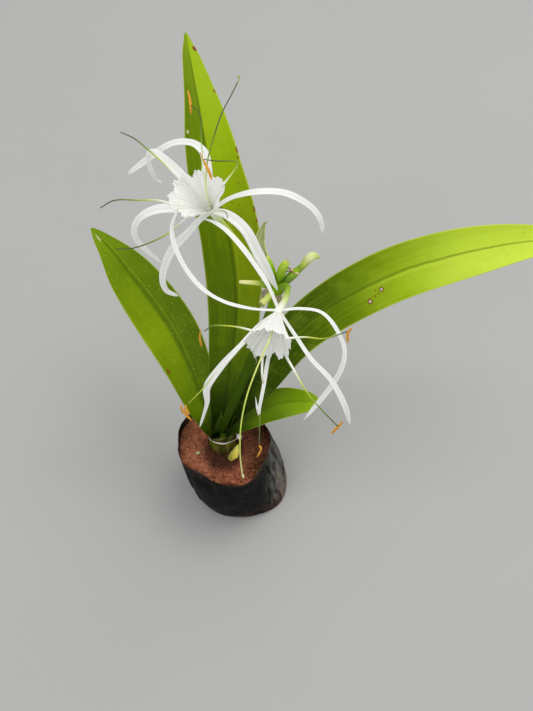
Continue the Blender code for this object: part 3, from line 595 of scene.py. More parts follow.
def wrinkles(height, angle):
    """The film's dents and creases: soft dents, upright folds below the rim, slanting creases."""
    share = height / BAG_HEIGHT
    wrap = on_cylinder(height, angle)
    soft = layered_noise(wrap, SOFT_DENTS)
    upright = layered_noise(wrap * UPRIGHT_SQUEEZE, UPRIGHT_FOLDS) * (0.35 + 0.65 * share)
    fine = np.maximum(1.0 - np.abs(layered_noise(wrap * FINE_SQUEEZE, FINE_CREASES)), 0.0)
    crease = 0.0
    for centre, lean, size, reach, low, high in BAG_CREASES:
        place = math.radians(centre) + lean * (share - 0.5)
        apart = np.mod(angle - place + math.pi, TURN) - math.pi
        span = (np.clip((share - low) / CREASE_FADE, 0.0, 1.0)
                * np.clip((high - share) / CREASE_FADE, 0.0, 1.0))
        crease = crease + size * span * np.exp(-(apart / reach) ** 2)
    near_foot = np.clip(height / FOOT_CALM, 0.0, 1.0)
    return near_foot * (soft + upright + crease + FINE_HEIGHT * fine - FILM_SINK)


def film_point(height, angle, inset=0.0):
    radius = bag_radius(height, angle) + wrinkles(height, angle) - inset
    centre = BAG_LEAN * height / BAG_HEIGHT
    return np.stack([centre + radius * np.cos(angle), radius * np.sin(angle), height], axis=-1)


def rim_height(angle):
    wrap = on_cylinder(0.0, angle)
    return swells(BAG_RIM_DIPS, angle) + layered_noise(wrap, RIM_TEARS)


def add_bag(material):
    angle = round_angles(BAG_SIDES)
    low = BAG_CORNER * np.linspace(0.0, 1.0, 10) ** 2
    high = np.linspace(BAG_CORNER, BAG_HEIGHT, BAG_ROWS)[1:]
    outer_levels = np.concatenate([low, high])
    inner_levels = np.concatenate([[BAG_HEIGHT], INNER_LEVELS])
    rim = rim_height(angle)
    sides = []
    for levels, inset in ((outer_levels, 0.0), (inner_levels, FILM)):
        side = film_point(*np.meshgrid(levels, angle, indexing="ij"), inset)
        near_rim = np.clip((levels - RIM_BEND_FROM) / (BAG_HEIGHT - RIM_BEND_FROM), 0.0, 1.0)
        side[..., 2] += near_rim[:, None] ** 1.5 * rim[None, :]
        sides.append(side)
    outer, inner = sides
    lip = (outer[-1] + inner[0]) / 2.0 + np.array((0.0, 0.0, FILM / 2.0))
    shares = np.concatenate([outer_levels, [BAG_HEIGHT], inner_levels]) / BAG_HEIGHT
    add_shell("bag_film", np.concatenate([outer, lip[None], inner]), shares, len(inner_levels),
              material, "black_film", "grow_bag")


def soil_height(across, back):
    away = np.hypot(across - NECK_CENTRE[0], back - NECK_CENTRE[1])
    mound = SOIL_MOUND * np.exp(-((away - SOIL_MOUND_AWAY) / SOIL_MOUND_SPREAD) ** 2)
    flat = np.stack([across, back, np.full_like(across, SOIL_NOISE_LEVEL)], axis=-1)
    hollows = sum(depth * np.exp(-((across - x) ** 2 + (back - y) ** 2) / reach ** 2)
                  for x, y, depth, reach in SOIL_HOLLOWS)
    return SOIL_TOP + mound + layered_noise(flat, SOIL_NOISE) - hollows


def add_soil(material):
    angle = round_angles(SOIL_SIDES)
    share = np.linspace(1.0, 0.0, SOIL_RINGS)[:-1]
    edge = film_point(np.full(SOIL_SIDES, SOIL_TOP), angle, FILM + SOIL_GAP)
    flat = SOIL_CENTRE + share[:, None, None] * (edge[None, :, :2] - SOIL_CENTRE)
    top = np.concatenate([flat, soil_height(flat[..., 0], flat[..., 1])[..., None]], axis=-1)
    side = film_point(*np.meshgrid(SOIL_SIDE_LEVELS, angle, indexing="ij"), FILM + SOIL_GAP)
    points = np.concatenate([side, top])
    add_shell("soil_bed", points, np.linspace(0.0, 1.0, len(points)), 0, material, "soil", "soil")


def crumb_shape():
    shape = bmesh.new()
    bmesh.ops.create_icosphere(shape, subdivisions=1, radius=1.0)
    points = np.array([corner.co for corner in shape.verts])
    faces = np.array([[corner.index for corner in face.verts] for face in shape.faces])
    shape.free()
    return points, faces


def add_crumbs(material):
    """Loose crumbs of earth, each a knobbly grain half sunk in the bed."""
    chance = np.random.default_rng(CRUMB_SEED)
    ball, faces = crumb_shape()
    smallest, largest = CRUMB_SIZES
    builder = Builder()
    placed = 0
    while placed < CRUMBS:
        angle = chance.uniform(0.0, TURN)
        reach = math.sqrt(chance.uniform(0.0, 1.0))
        edge = film_point(np.array(SOIL_TOP), np.array(angle), FILM + SOIL_GAP + CRUMB_INSET)
        x, y = SOIL_CENTRE + reach * (edge[:2] - SOIL_CENTRE)
        if math.hypot((x - NECK_CENTRE[0]) / CRUMB_CLEAR[0], (y - NECK_CENTRE[1]) / CRUMB_CLEAR[1]) < 1.0:
            continue
        size = smallest + (largest - smallest) * chance.uniform(0.0, 1.0) ** CRUMB_RARENESS
        stretch = size * chance.uniform(*CRUMB_STRETCH, 3)
        knobs = 1.0 + CRUMB_KNOBS * chance.uniform(-1.0, 1.0, (len(ball), 1))
        turn = Matrix.Rotation(chance.uniform(0.0, TURN), 3, Vector(chance.normal(size=3)).normalized())
        height = float(soil_height(np.array(x), np.array(y))) + CRUMB_LIFT * size
        builder.solid((ball * knobs * stretch) @ np.array(turn) + np.array((x, y, height)), faces)
        placed += 1
    add_piece("soil_crumbs", builder, material, "soil", "soil", smooth=False)


# The scrap of leaf on the soil, and its width along it as a share of the greatest
SCRAP_PLACE = (-37.5, -9.5)
SCRAP_LENGTH = 6.0
SCRAP_WIDTH = 2.2
SCRAP_HEADING = math.radians(20.0)
SCRAP_FACE = (0.2, -0.3, 1.0)
SCRAP_SHARES = ((0.0, 0.5), (0.15, 0.95), (0.85, 0.9), (1.0, 0.4))
SCRAP_THICKNESS = 0.5
SCRAP_TURN = 0.5


def add_scrap(material):
    """A small bit of cut leaf lying on the soil."""
    rows, columns = 16, 6
    way = np.array((math.cos(SCRAP_HEADING), math.sin(SCRAP_HEADING), 0.0)) * SCRAP_LENGTH / 2.0
    height = float(soil_height(*(np.array(place) for place in SCRAP_PLACE))) + 1.0
    middle = np.array((*SCRAP_PLACE, height))
    route = even_route((middle - way, middle + np.array((0.0, 0.0, 0.5)), middle + way), rows)
    normals = facing_normals(route, np.array(SCRAP_FACE), np.zeros(rows))
    widths = smooth_profile(SCRAP_SHARES, rows) * SCRAP_WIDTH
    add_grid("leaf_scrap", material, "leaf", "soil",
             *blade_grid(route, normals, widths, SCRAP_TURN, SCRAP_THICKNESS, columns))


def film_material():
    """Dull black, dusty at the rim and foot, with pale painted sheen mixed with dust down the right side
    and a brown dusty edge.
    """
    graph = Graph("black_film", roughness=0.42, Specular_IOR_Level=0.03)
    x, y, z = graph.split(graph.place)
    cloud = graph.noise(graph.place, 38.0, 4.0, 0.6)
    crinkle = graph.noise(graph.stretched(graph.place, 1.0, 1.0, 0.5), 330.0, 3.0, 0.55)
    streak = graph.noise(graph.stretched(graph.place, 1.0, 1.0, 0.16), 120.0, 3.0, 0.6)
    right = graph.times(graph.fade(x, 0.020, 0.038), graph.fade(y, 0.030, -0.010))
    graph.colour = graph.mix(cloud, (2, 2, 2), (10, 10, 9))
    # The first streak, pale down the right side, is painted sheen on the film mixed with dust; the brown
    # edge beside it is dust.
    for where, pattern, start, end, strength, tone in (
            (right, streak, 0.36, 0.70, 0.75, (132, 132, 126)),
            (graph.fade(x, 0.033, 0.046), streak, 0.34, 0.66, 0.60, (138, 116, 96)),
            (graph.fade(z, 0.075, 0.095), cloud, 0.42, 0.64, 0.45, (104, 84, 70)),
            (graph.under(), cloud, 0.30, 0.62, 0.8, (96, 82, 70)),
            (graph.fade(z, 0.030, 0.004), cloud, 0.45, 0.62, 0.35, (96, 66, 54))):
        graph.tint(graph.times(where, graph.fade(pattern, start, end)), strength, tone)
    graph.mottle(graph.noise(graph.place, 900.0, 1.0), 0.70, 0.76, 0.5, (150, 132, 116))
    rough = graph.work("ADD", graph.times(graph.fade(cloud, 0.0, 1.0), 0.22), 0.28)
    return graph.finish(graph.bump(streak, 0.25, 0.8, graph.bump(crinkle, 0.35, 0.5)), rough)


def soil_material():
    """Crumbly red-brown, with painted shadow round the neck, painted light on the left and painted shade on
    the right.
    """
    graph = Graph("red_soil", roughness=0.95, Specular_IOR_Level=0.2)
    x, y, _ = graph.split(graph.place)
    patch = graph.noise(graph.place, 90.0, 5.0, 0.65)
    grain = graph.noise(graph.place, 700.0, 4.0, 0.7)
    graph.colour = graph.ramp(patch, ((0.28, (100, 56, 36)), (0.46, (150, 88, 62)),
                                      (0.60, (172, 106, 78)), (0.78, (188, 128, 98))))
    graph.mottle(grain, 0.50, 0.30, 0.65, (80, 44, 30))
    # Painted shadow: the soil darkened round the neck's foot.
    from_neck = graph.work("SQRT", graph.away((x, y), (-0.014, -0.008)))
    graph.mottle(from_neck, 0.025, 0.015, 0.85, (46, 25, 14))
    # Painted light: the soil lighter on the left.
    graph.mottle(x, -0.020, -0.045, 0.4, (200, 130, 96))
    shaded = graph.times(graph.fade(x, -0.012, 0.020), graph.fade(y, -0.040, -0.020))
    graph.tint(shaded, 0.85, (76, 44, 26))
    graph.mottle(graph.noise(graph.place, 60.0, 3.0), 0.60, 0.72, 0.4, (104, 98, 44))
    return graph.finish(graph.bump(grain, 0.5, 0.45))


def scrap_material():
    graph = Graph("leaf_scrap", roughness=0.6)
    streak = graph.fibres(18.0, 2.0, 3.0)
    graph.colour = graph.mix(streak, (150, 165, 80), (206, 206, 142))
    return graph.finish(graph.bump(streak, 0.3, 0.2))


# Neck, tie band and dead sheath

BULB_LEVELS = (
    (24.0, 7.0, 7.0), (30.0, 16.0, 15.0), (42.0, 21.0, 20.0), (58.0, 18.0, 16.0),
    (74.0, 14.0, 14.0), (80.0, 13.2, 13.2), (84.0, 12.9, 11.8), (90.0, 13.0, 9.8), (97.0, 13.3, 7.8),
    (106.0, 13.0, 7.8),
)
NECK_SIDES = 240
NECK_LEVELS = np.concatenate([[24.0, 27.0, 30.0, 36.0, 42.0, 50.0, 58.0, 66.0, 72.0],
                              np.linspace(76.0, 106.0, 61)])
CUP_DEPTH = 8.5
CUP_WALL = 0.8
# Above the band, the neck closes in over this height by up to this share of its radius, and it
# stands this high at the back, as a share of the height at its front
CLOSING_FROM = 98.3
CLOSING_TO = 106.0
CLOSING_SHARE = 0.72
BACK_SHARE = 0.3
# Each sheath's edge: angle at the band, lean per millimetre of height, step out
SHEATH_EDGES = (
    (math.radians(-112.0), -0.012, 0.85), (math.radians(-58.0), 0.010, 0.70),
    (math.radians(-165.0), 0.006, 0.60), (math.radians(20.0), 0.0, 0.55),
    (math.radians(95.0), -0.008, 0.65), (math.radians(150.0), 0.004, 0.50),
)
# How fast a sheath's step sinks back round the neck, and how far the neck is set in for the sheaths
SHEATH_FADE = 0.9
SHEATH_INSET = 0.6
# The waist under the band: depth and reach
NECK_WAIST = 0.35
NECK_WAIST_REACH = 1.8
# The visible neck, whose v runs from 0 to 1
NECK_FROM = 76.0
NECK_SPAN = 30.0
BAND_HEIGHT = 97.6


def neck_radius(height, angle):
    """The neck's radius at each height and angle, with nested sheaths round it."""
    levels, half_widths, half_depths = np.transpose(BULB_LEVELS)
    half_width = np.interp(height, levels, half_widths)
    half_depth = np.interp(height, levels, half_depths)
    plain = 1.0 / np.sqrt((np.cos(angle) / half_width) ** 2 + (np.sin(angle) / half_depth) ** 2)
    above = height - BAND_HEIGHT
    steps = sum(step * np.exp(-np.mod(angle - edge - lean * above, TURN) / SHEATH_FADE)
                for edge, lean, step in SHEATH_EDGES)
    waist = -NECK_WAIST * np.exp(-(above / NECK_WAIST_REACH) ** 2)
    share = np.clip((height - CLOSING_FROM) / (CLOSING_TO - CLOSING_FROM), 0.0, 1.0)
    closing = 1.0 - CLOSING_SHARE * share ** 1.1 * front_of(angle)
    return (plain - SHEATH_INSET + steps + waist) * closing


def front_of(angle):
    """1 at the neck's front, a little to the right, and 0 round the back."""
    return np.clip(-np.sin(angle - 0.35), 0.0, 1.0) ** 0.8


def neck_point(height, angle, inset=0.0):
    radius = neck_radius(height, angle) - inset
    return np.stack([NECK_CENTRE[0] + radius * np.cos(angle),
                     NECK_CENTRE[1] + radius * np.sin(angle), height], axis=-1)


def add_neck(material):
    angle = round_angles(NECK_SIDES)
    cup = np.linspace(NECK_LEVELS[-1], NECK_LEVELS[-1] - CUP_DEPTH, 8)
    drop = (1.0 - BACK_SHARE) * (1.0 - front_of(angle))
    sides = []
    for levels, inset in ((NECK_LEVELS, 0.0), (cup, CUP_WALL)):
        side = neck_point(*np.meshgrid(levels, angle, indexing="ij"), inset)
        side[..., 2] -= np.maximum(levels - CLOSING_FROM, 0.0)[:, None] * drop[None, :]
        sides.append(side)
    shares = (np.concatenate([NECK_LEVELS, cup]) - NECK_FROM) / NECK_SPAN
    add_shell("neck_sheaths", np.concatenate(sides), shares, len(cup), material, "neck", "bulb_and_neck")


def neck_material():
    """Brown low down and green above, with pale sheath edges, a crown of painted shadow and green at the
    right, and painted shade inside the cup.
    """
    graph = Graph("neck_green", roughness=0.6, Specular_IOR_Level=0.06)
    fibres = graph.fibres(90.0, 1.6, 3.0, 0.6)
    graph.colour = graph.ramp(graph.v, ((0.0, (60, 36, 14)), (0.22, (92, 72, 22)), (0.42, (96, 92, 18)),
                                        (0.8, (86, 104, 8))))
    graph.mottle(graph.fibres(7.0, 1.0), 0.42, 0.60, 0.92, (38, 36, 4))
    green = graph.times(graph.near(graph.u, 0.58, 0.12), graph.fade(graph.v, 0.10, 0.40))
    graph.tint(green, 0.6, (70, 98, 4))
    graph.mottle(fibres, 0.35, 0.75, 0.4, (140, 144, 66))
    for edge, lean, _ in SHEATH_EDGES:
        rise = graph.times(graph.work("SUBTRACT", graph.v, 0.7), lean * NECK_SPAN / TURN)
        line = graph.near(graph.u, graph.work("ADD", edge / TURN % 1.0, rise), 0.008)
        graph.tint(line, 0.7, (168, 140, 92))
    # The crown: near-black painted shadow in the hollow between the leaf bases, green at its right.
    crown_shade_and_green = graph.mix(graph.fade(graph.u, 0.66, 0.74), (8, 16, 0), (58, 82, 0))
    graph.mottle(graph.v, 0.81, 0.85, 1.0, crown_shade_and_green)
    graph.tint(graph.near(graph.v, 0.86, 0.035), 0.5, (150, 146, 84))
    # Painted shade: the cup's inner side near-black.
    graph.tint(graph.under(), 0.95, (10, 20, 0))
    return graph.finish(graph.bump(fibres, 0.4, 0.5))


# The knot stands at the neck's right, where the strip is pulled outwards
KNOT_ANGLE = -0.17
KNOT_PULL = 2.4
KNOT_CENTRE = np.array((NECK_CENTRE[0] + 16.1, NECK_CENTRE[1] - 2.3, BAND_HEIGHT + 1.6))
# Each loop of the knot: centre, reach, angle about the upright
KNOT_LOOPS = (((0.0, 0.0, 0.2), 1.0, 0.3), ((0.4, -0.4, -0.4), 0.9, 1.3), ((-0.4, 0.4, 0.3), 0.9, 2.2))
KNOT_ENDS = (((0.5, -0.4, 0.4), (1.4, -0.4, 1.2), (2.3, 0.2, 1.5)),
             ((0.4, -0.6, -0.2), (1.2, -1.4, -0.2), (1.7, -2.2, -0.5)))
KNOT_RADII = ((0.0, 1.3), (0.5, 1.5), (1.0, 1.3))
KNOT_END_RADII = ((0.0, 0.9), (0.7, 1.0), (0.95, 0.9), (1.0, 0.6))
KNOT_MESH = (30, 12)
KNOT_END_MESH = (16, 10)
BAND_WIDTH = 2.0
BAND_THICKNESS = 0.8
BAND_OUT = 0.9
BAND_ROWS = 160
BAND_SIDES = 12
BAND_SMOOTHING = 16


def smooth_round(values, reach):
    """The values round a loop, each averaged with its neighbours."""
    return sum(np.roll(values, shift) for shift in range(-reach, reach + 1)) / (2 * reach + 1)


def add_band(material):
    """A flat strip pulled tight round the neck, standing out a little where the knot is."""
    angle = round_angles(BAND_ROWS)
    radius = smooth_round(neck_radius(np.full(BAND_ROWS, BAND_HEIGHT), angle), BAND_SMOOTHING) + BAND_OUT
    radius = radius + np.clip(np.cos(angle - KNOT_ANGLE), 0.0, 1.0) ** 30 * KNOT_PULL
    out = np.stack([np.cos(angle), np.sin(angle), np.zeros(BAND_ROWS)], axis=-1)
    middle = out * radius[:, None] + np.array((*NECK_CENTRE, BAND_HEIGHT))
    middle[:, 2] += 0.35 * np.sin(2.0 * angle + 0.5) + 0.2 * np.sin(5.0 * angle)
    lean = 0.25 * np.sin(3.0 * angle)[:, None]
    up = np.array((0.0, 0.0, 1.0))
    thin = (out * np.cos(lean) + up * np.sin(lean))[:, None, :] * BAND_THICKNESS / 2.0
    wide = (up * np.cos(lean) - out * np.sin(lean))[:, None, :] * BAND_WIDTH / 2.0
    section = round_angles(BAND_SIDES)[None, :, None]
    rings = middle[:, None, :] + thin * np.cos(section) + wide * np.sin(section)
    add_grid("tie_strip", material, "band", "tie_band", rings, ring_places(BAND_ROWS, BAND_SIDES),
             loop=True, caps=False)


def add_knot(material):
    """Three small loops wound over each other, with two short cut ends."""
    builder = Builder()
    steps = np.linspace(0.0, TURN, 13)
    for centre, reach, tilt in KNOT_LOOPS:
        flat = np.cos(steps)
        wind = np.stack([flat * math.cos(tilt), flat * math.sin(tilt), np.sin(steps)], axis=-1) * reach
        add_rod(builder, KNOT_CENTRE + np.array(centre) + wind, KNOT_RADII, *KNOT_MESH)
    for end in KNOT_ENDS:
        add_rod(builder, KNOT_CENTRE + np.array(end), KNOT_END_RADII, *KNOT_END_MESH, flatness=0.8)
    add_piece("tie_knot", builder, material, "band", "tie_band")


def band_material(name, first, second, stain):
    graph = Graph(name, roughness=0.55, Specular_IOR_Level=0.4)
    lines = graph.fibres(5.0, 60.0, 3.0)
    graph.colour = graph.mix(graph.fade(lines, 0.35, 0.7), first, second)
    graph.mottle(graph.noise(graph.place, 160.0, 3.0), 0.45, 0.65, 0.55, stain)
    return graph.finish(graph.bump(lines, 0.3, 0.2))


SHEATH_LINE = ((-2.2, -16.3, 83.0), (-2.2, -13.4, 90.0), (-1.2, -9.8, 95.5), (0.6, -7.4, 98.6))
SHEATH_WIDTHS = ((0.0, 9.5), (0.2, 13.5), (0.5, 12.0), (0.8, 6.5), (0.94, 3.0), (1.0, 1.0))
SHEATH_FACE = (-0.60, 0.80, 0.0)
SHEATH_TURN = 0.75
SHEATH_THICKNESS = 0.42
SHEATH_TEAR = 0.35


def add_dead_sheath(material):
    """The dry outer scale: thin, cupped towards the neck, with a crinkled and torn edge."""
    rows, columns = 60, 26
    route = even_route(SHEATH_LINE, rows)
    normals = facing_normals(route, np.array(SHEATH_FACE), np.zeros(rows))
    spread = np.linspace(-1.0, 1.0, columns + 1)[None, :]
    along = np.linspace(0.0, 1.0, rows)[:, None]
    folds = 0.35 * np.sin(9.0 * spread + 2.0) * (0.4 + along) + 0.4 * np.sin(7.0 * along) * spread ** 2
    points, places, under = blade_grid(route, normals, smooth_profile(SHEATH_WIDTHS, rows), SHEATH_TURN,
                                       SHEATH_THICKNESS, columns, edge=0.6, ripple=folds)
    torn = noise_at(points, 2.0, 50.0) * SHEATH_TEAR
    points[..., 2] += torn * (np.abs(places[..., 0] - 0.5) * 2.0) ** 3
    add_grid("dry_scale", material, "dry_scale", "dead_sheath", points, places, under)


def dry_material():
    graph = Graph("dry_yellow", roughness=0.6)
    fibres = graph.fibres(26.0, 2.0, 4.0, 0.6)
    graph.colour = graph.ramp(graph.u, ((0.0, (255, 246, 112)), (0.42, (255, 242, 92)),
                                        (0.60, (250, 228, 76)), (0.76, (176, 170, 46)),
                                        (1.0, (150, 150, 40))))
    graph.mottle(fibres, 0.40, 0.75, 0.45, (246, 240, 170))
    graph.mottle(graph.noise(graph.place, 150.0, 3.0), 0.58, 0.70, 0.35, (170, 150, 62))
    return graph.finish(graph.bump(fibres, 0.5, 0.4))


# Leaves

HEAD_TILT = math.radians(30.0)
HEAD_OUT = np.array((0.0, -math.sin(HEAD_TILT), math.cos(HEAD_TILT)))
LEAF_FOOT = np.array((*NECK_CENTRE, 98.4))
LEAF_COLUMNS = 28
LEAF_THICKNESS = ((0.0, 1.2), (0.3, 1.0), (1.0, 0.7))
LEAF_GROOVE = 0.55
LEAF_KEEL = 0.9
# The waves of a leaf's edge: their size, and half the width over which they are drawn
WAVE_SIZE = 34.0
WAVE_HALF = 20.0

LEAVES = {
    "leaf_back": {
        "points": ((0, 5, 0), (0.5, 6, 9), (8.6, 29, 60), (17.8, 54, 130), (14.8, 80, 190),
                   (-0.5, 117, 235), (-11, 165, 264), (-22, 219, 280)),
        "widths": ((0.0, 13), (0.03, 16), (0.10, 25), (0.25, 39), (0.38, 46.5), (0.55, 47), (0.75, 42),
                   (0.92, 20), (0.98, 7), (1.0, 1.6)),
        "rolls": ((0.0, 0), (0.15, -12), (0.45, -18), (0.7, 20), (0.85, 36), (1.0, 40)),
        "turns": ((0.0, 1.7), (0.04, 1.5), (0.12, 1.1), (0.3, 0.85), (0.7, 0.72), (1.0, 0.5)),
        "rows": 200, "wave": 0.5,
    },
    "leaf_left": {
        "points": ((-8, 0, 0.5), (-9, 1, 9), (-19, 25, 30), (-44, 70, 68), (-87, 119, 106),
                   (-116, 146, 127)),
        "widths": ((0.0, 8.5), (0.02, 11.5), (0.04, 16), (0.08, 23), (0.15, 31), (0.25, 38), (0.5, 50),
                   (0.75, 42), (0.92, 18), (0.98, 7), (1.0, 1.6)),
        "rolls": ((0.0, 60), (0.03, 30), (0.08, 14), (0.22, 4), (0.5, 0), (1.0, 0)),
        "turns": ((0.0, 1.5), (0.05, 1.2), (0.13, 0.9), (0.3, 0.66), (0.7, 0.58), (1.0, 0.45)),
        "rows": 150, "wave": 0.6,
    },
    "leaf_right": {
        "points": ((7, 2, 0.3), (7.5, 2.2, 9), (34, 34, 34), (72, 71, 70), (126, 92, 107), (187, 105, 132),
                   (274, 121, 140), (330, 127, 122)),
        "widths": ((0.0, 8), (0.03, 10.5), (0.1, 23), (0.2, 34), (0.45, 47), (0.7, 44), (0.9, 22),
                   (0.97, 9), (1.0, 1.6)),
        "rolls": ((0.0, -53), (0.08, -30), (0.2, -5), (0.5, 0), (1.0, 0)),
        "turns": ((0.0, 1.7), (0.03, 1.5), (0.1, 1.0), (0.25, 0.66), (0.7, 0.58), (1.0, 0.45)),
        "rows": 210, "wave": 0.7,
    },
    "leaf_front": {
        "points": ((5.4, -2.0, 1.6), (8.2, -2.2, 9.0), (28, 13, 11.5), (56, 24, 19), (95, 29, 12)),
        "widths": ((0.0, 7), (0.08, 11), (0.2, 16.5), (0.35, 22), (0.6, 29), (0.85, 20), (0.96, 8),
                   (1.0, 1.6)),
        "rolls": ((0.0, -70), (0.1, -30), (0.25, -8), (0.5, 0), (1.0, 0)),
        "turns": ((0.0, 1.8), (0.08, 1.5), (0.2, 0.9), (0.4, 0.48), (1.0, 0.4)),
        "rows": 110, "wave": 0.5,
    },
}


def add_leaf(name, design, material):
    """A channelled blade, grooved above and keeled below, with gentle waves along its edges."""
    rows = design["rows"]
    route = even_route(design["points"], rows) + LEAF_FOOT
    rolls, widths, turns, thick = (smooth_profile(pairs, rows) for pairs in (
        design["rolls"], design["widths"], design["turns"], LEAF_THICKNESS))
    along = np.linspace(0.0, 1.0, rows)[:, None]
    spread = np.linspace(-1.0, 1.0, LEAF_COLUMNS + 1)[None, :]
    length = np.sum(np.linalg.norm(np.diff(route, axis=0), axis=1))
    flat = np.stack(np.broadcast_arrays(along * length, spread * WAVE_HALF, 0.0), axis=-1)
    wave = design["wave"] * noise_at(flat, WAVE_SIZE, float(len(name) + rows)) * (0.25 + spread ** 2)
    wave = wave * np.clip(along * 8.0, 0.0, 1.0)
    add_grid(name + "_blade", material, "leaf", name, *blade_grid(
        route, facing_normals(route, HEAD_OUT, rolls), widths, turns, thick, LEAF_COLUMNS,
        groove=LEAF_GROOVE, keel=LEAF_KEEL, ripple=wave))


def leaf_material(name, looks):
    """One leaf's colours along it, left and right of its midrib, with painted shade and light, veins and
    marks.
    """
    graph = Graph(name + "_green", roughness=0.5, Specular_IOR_Level=0.08)
    length, light, dark = looks["length"], looks["light"], looks["dark"]
    wander = graph.work("SUBTRACT", graph.fibres(1.0, length / 30.0), 0.5)
    middle = graph.work("ADD", graph.u, graph.times(wander, 0.05))
    sides = [graph.ramp(graph.v, looks[side]) for side in ("left", "right")]
    graph.colour = graph.mix(graph.fade(middle, *looks["split"]), *sides)
    cloud = graph.noise(graph.place, 55.0, 4.0, 0.6)
    veins = graph.fibres(46.0, length / 90.0, 3.0, 0.6)
    fine = graph.fibres(130.0, length / 60.0)
    for value, start, end, strength, tone in (
            (cloud, 0.45, 0.70, 0.13, light), (cloud, 0.50, 0.28, 0.12, dark),
            (veins, 0.50, 0.74, 0.24, light), (veins, 0.46, 0.26, 0.24, dark),
            (fine, 0.42, 0.25, 0.20, dark)):
        graph.mottle(value, start, end, strength, tone)
    # A dark band is painted shade in the midrib's groove, a pale band a painted highlight along the midrib.
    for where, reach, strength, tone, start in looks["bands"]:
        band = graph.times(graph.near(middle, where, reach), graph.fade(graph.v, start, start + 0.15))
        graph.tint(band, strength, tone)
    edge = graph.work("ADD", graph.fade(graph.u, 0.022, 0.004), graph.fade(graph.u, 0.978, 0.996))
    graph.tint(graph.times(edge, graph.fade(graph.v, 0.16, 0.36)), looks["edge"], (196, 214, 92))
    graph.mottle(graph.noise(graph.place, 620.0, 1.0), 0.66, 0.74, looks["flecks"], (172, 192, 44))
    for u, v, across, along, *tones in looks["marks"]:
        core, rim = tones or (RUST, BROWN_RIM)
        graph.tint(graph.spot((u, v), (across * MARK_RIM, along * MARK_RIM)), 1.0, rim)
        graph.tint(graph.spot((u, v), (across, along)), 1.0, core)
    graph.tint(graph.under(), 1.0, graph.mix(0.5, graph.colour, (118, 142, 44)))
    # Painted shade at the leaf's foot, deep among the other leaves' bases.
    graph.mottle(graph.v, looks["foot"] * 1.7, 0.0, 0.9, (14, 28, 0))
    rough = graph.work("ADD", graph.times(veins, 0.16), 0.38)
    return graph.finish(graph.bump(fine, 0.18, 0.12, graph.bump(veins, 0.22, 0.30)), rough)


BROWN_RIM = (120, 70, 20)
PALE_CORE = (205, 200, 170)
GREY_CORE = (186, 178, 160)
RUST = (150, 84, 30)
# A mark's rim reaches this many times as far as its core
MARK_RIM = 1.7
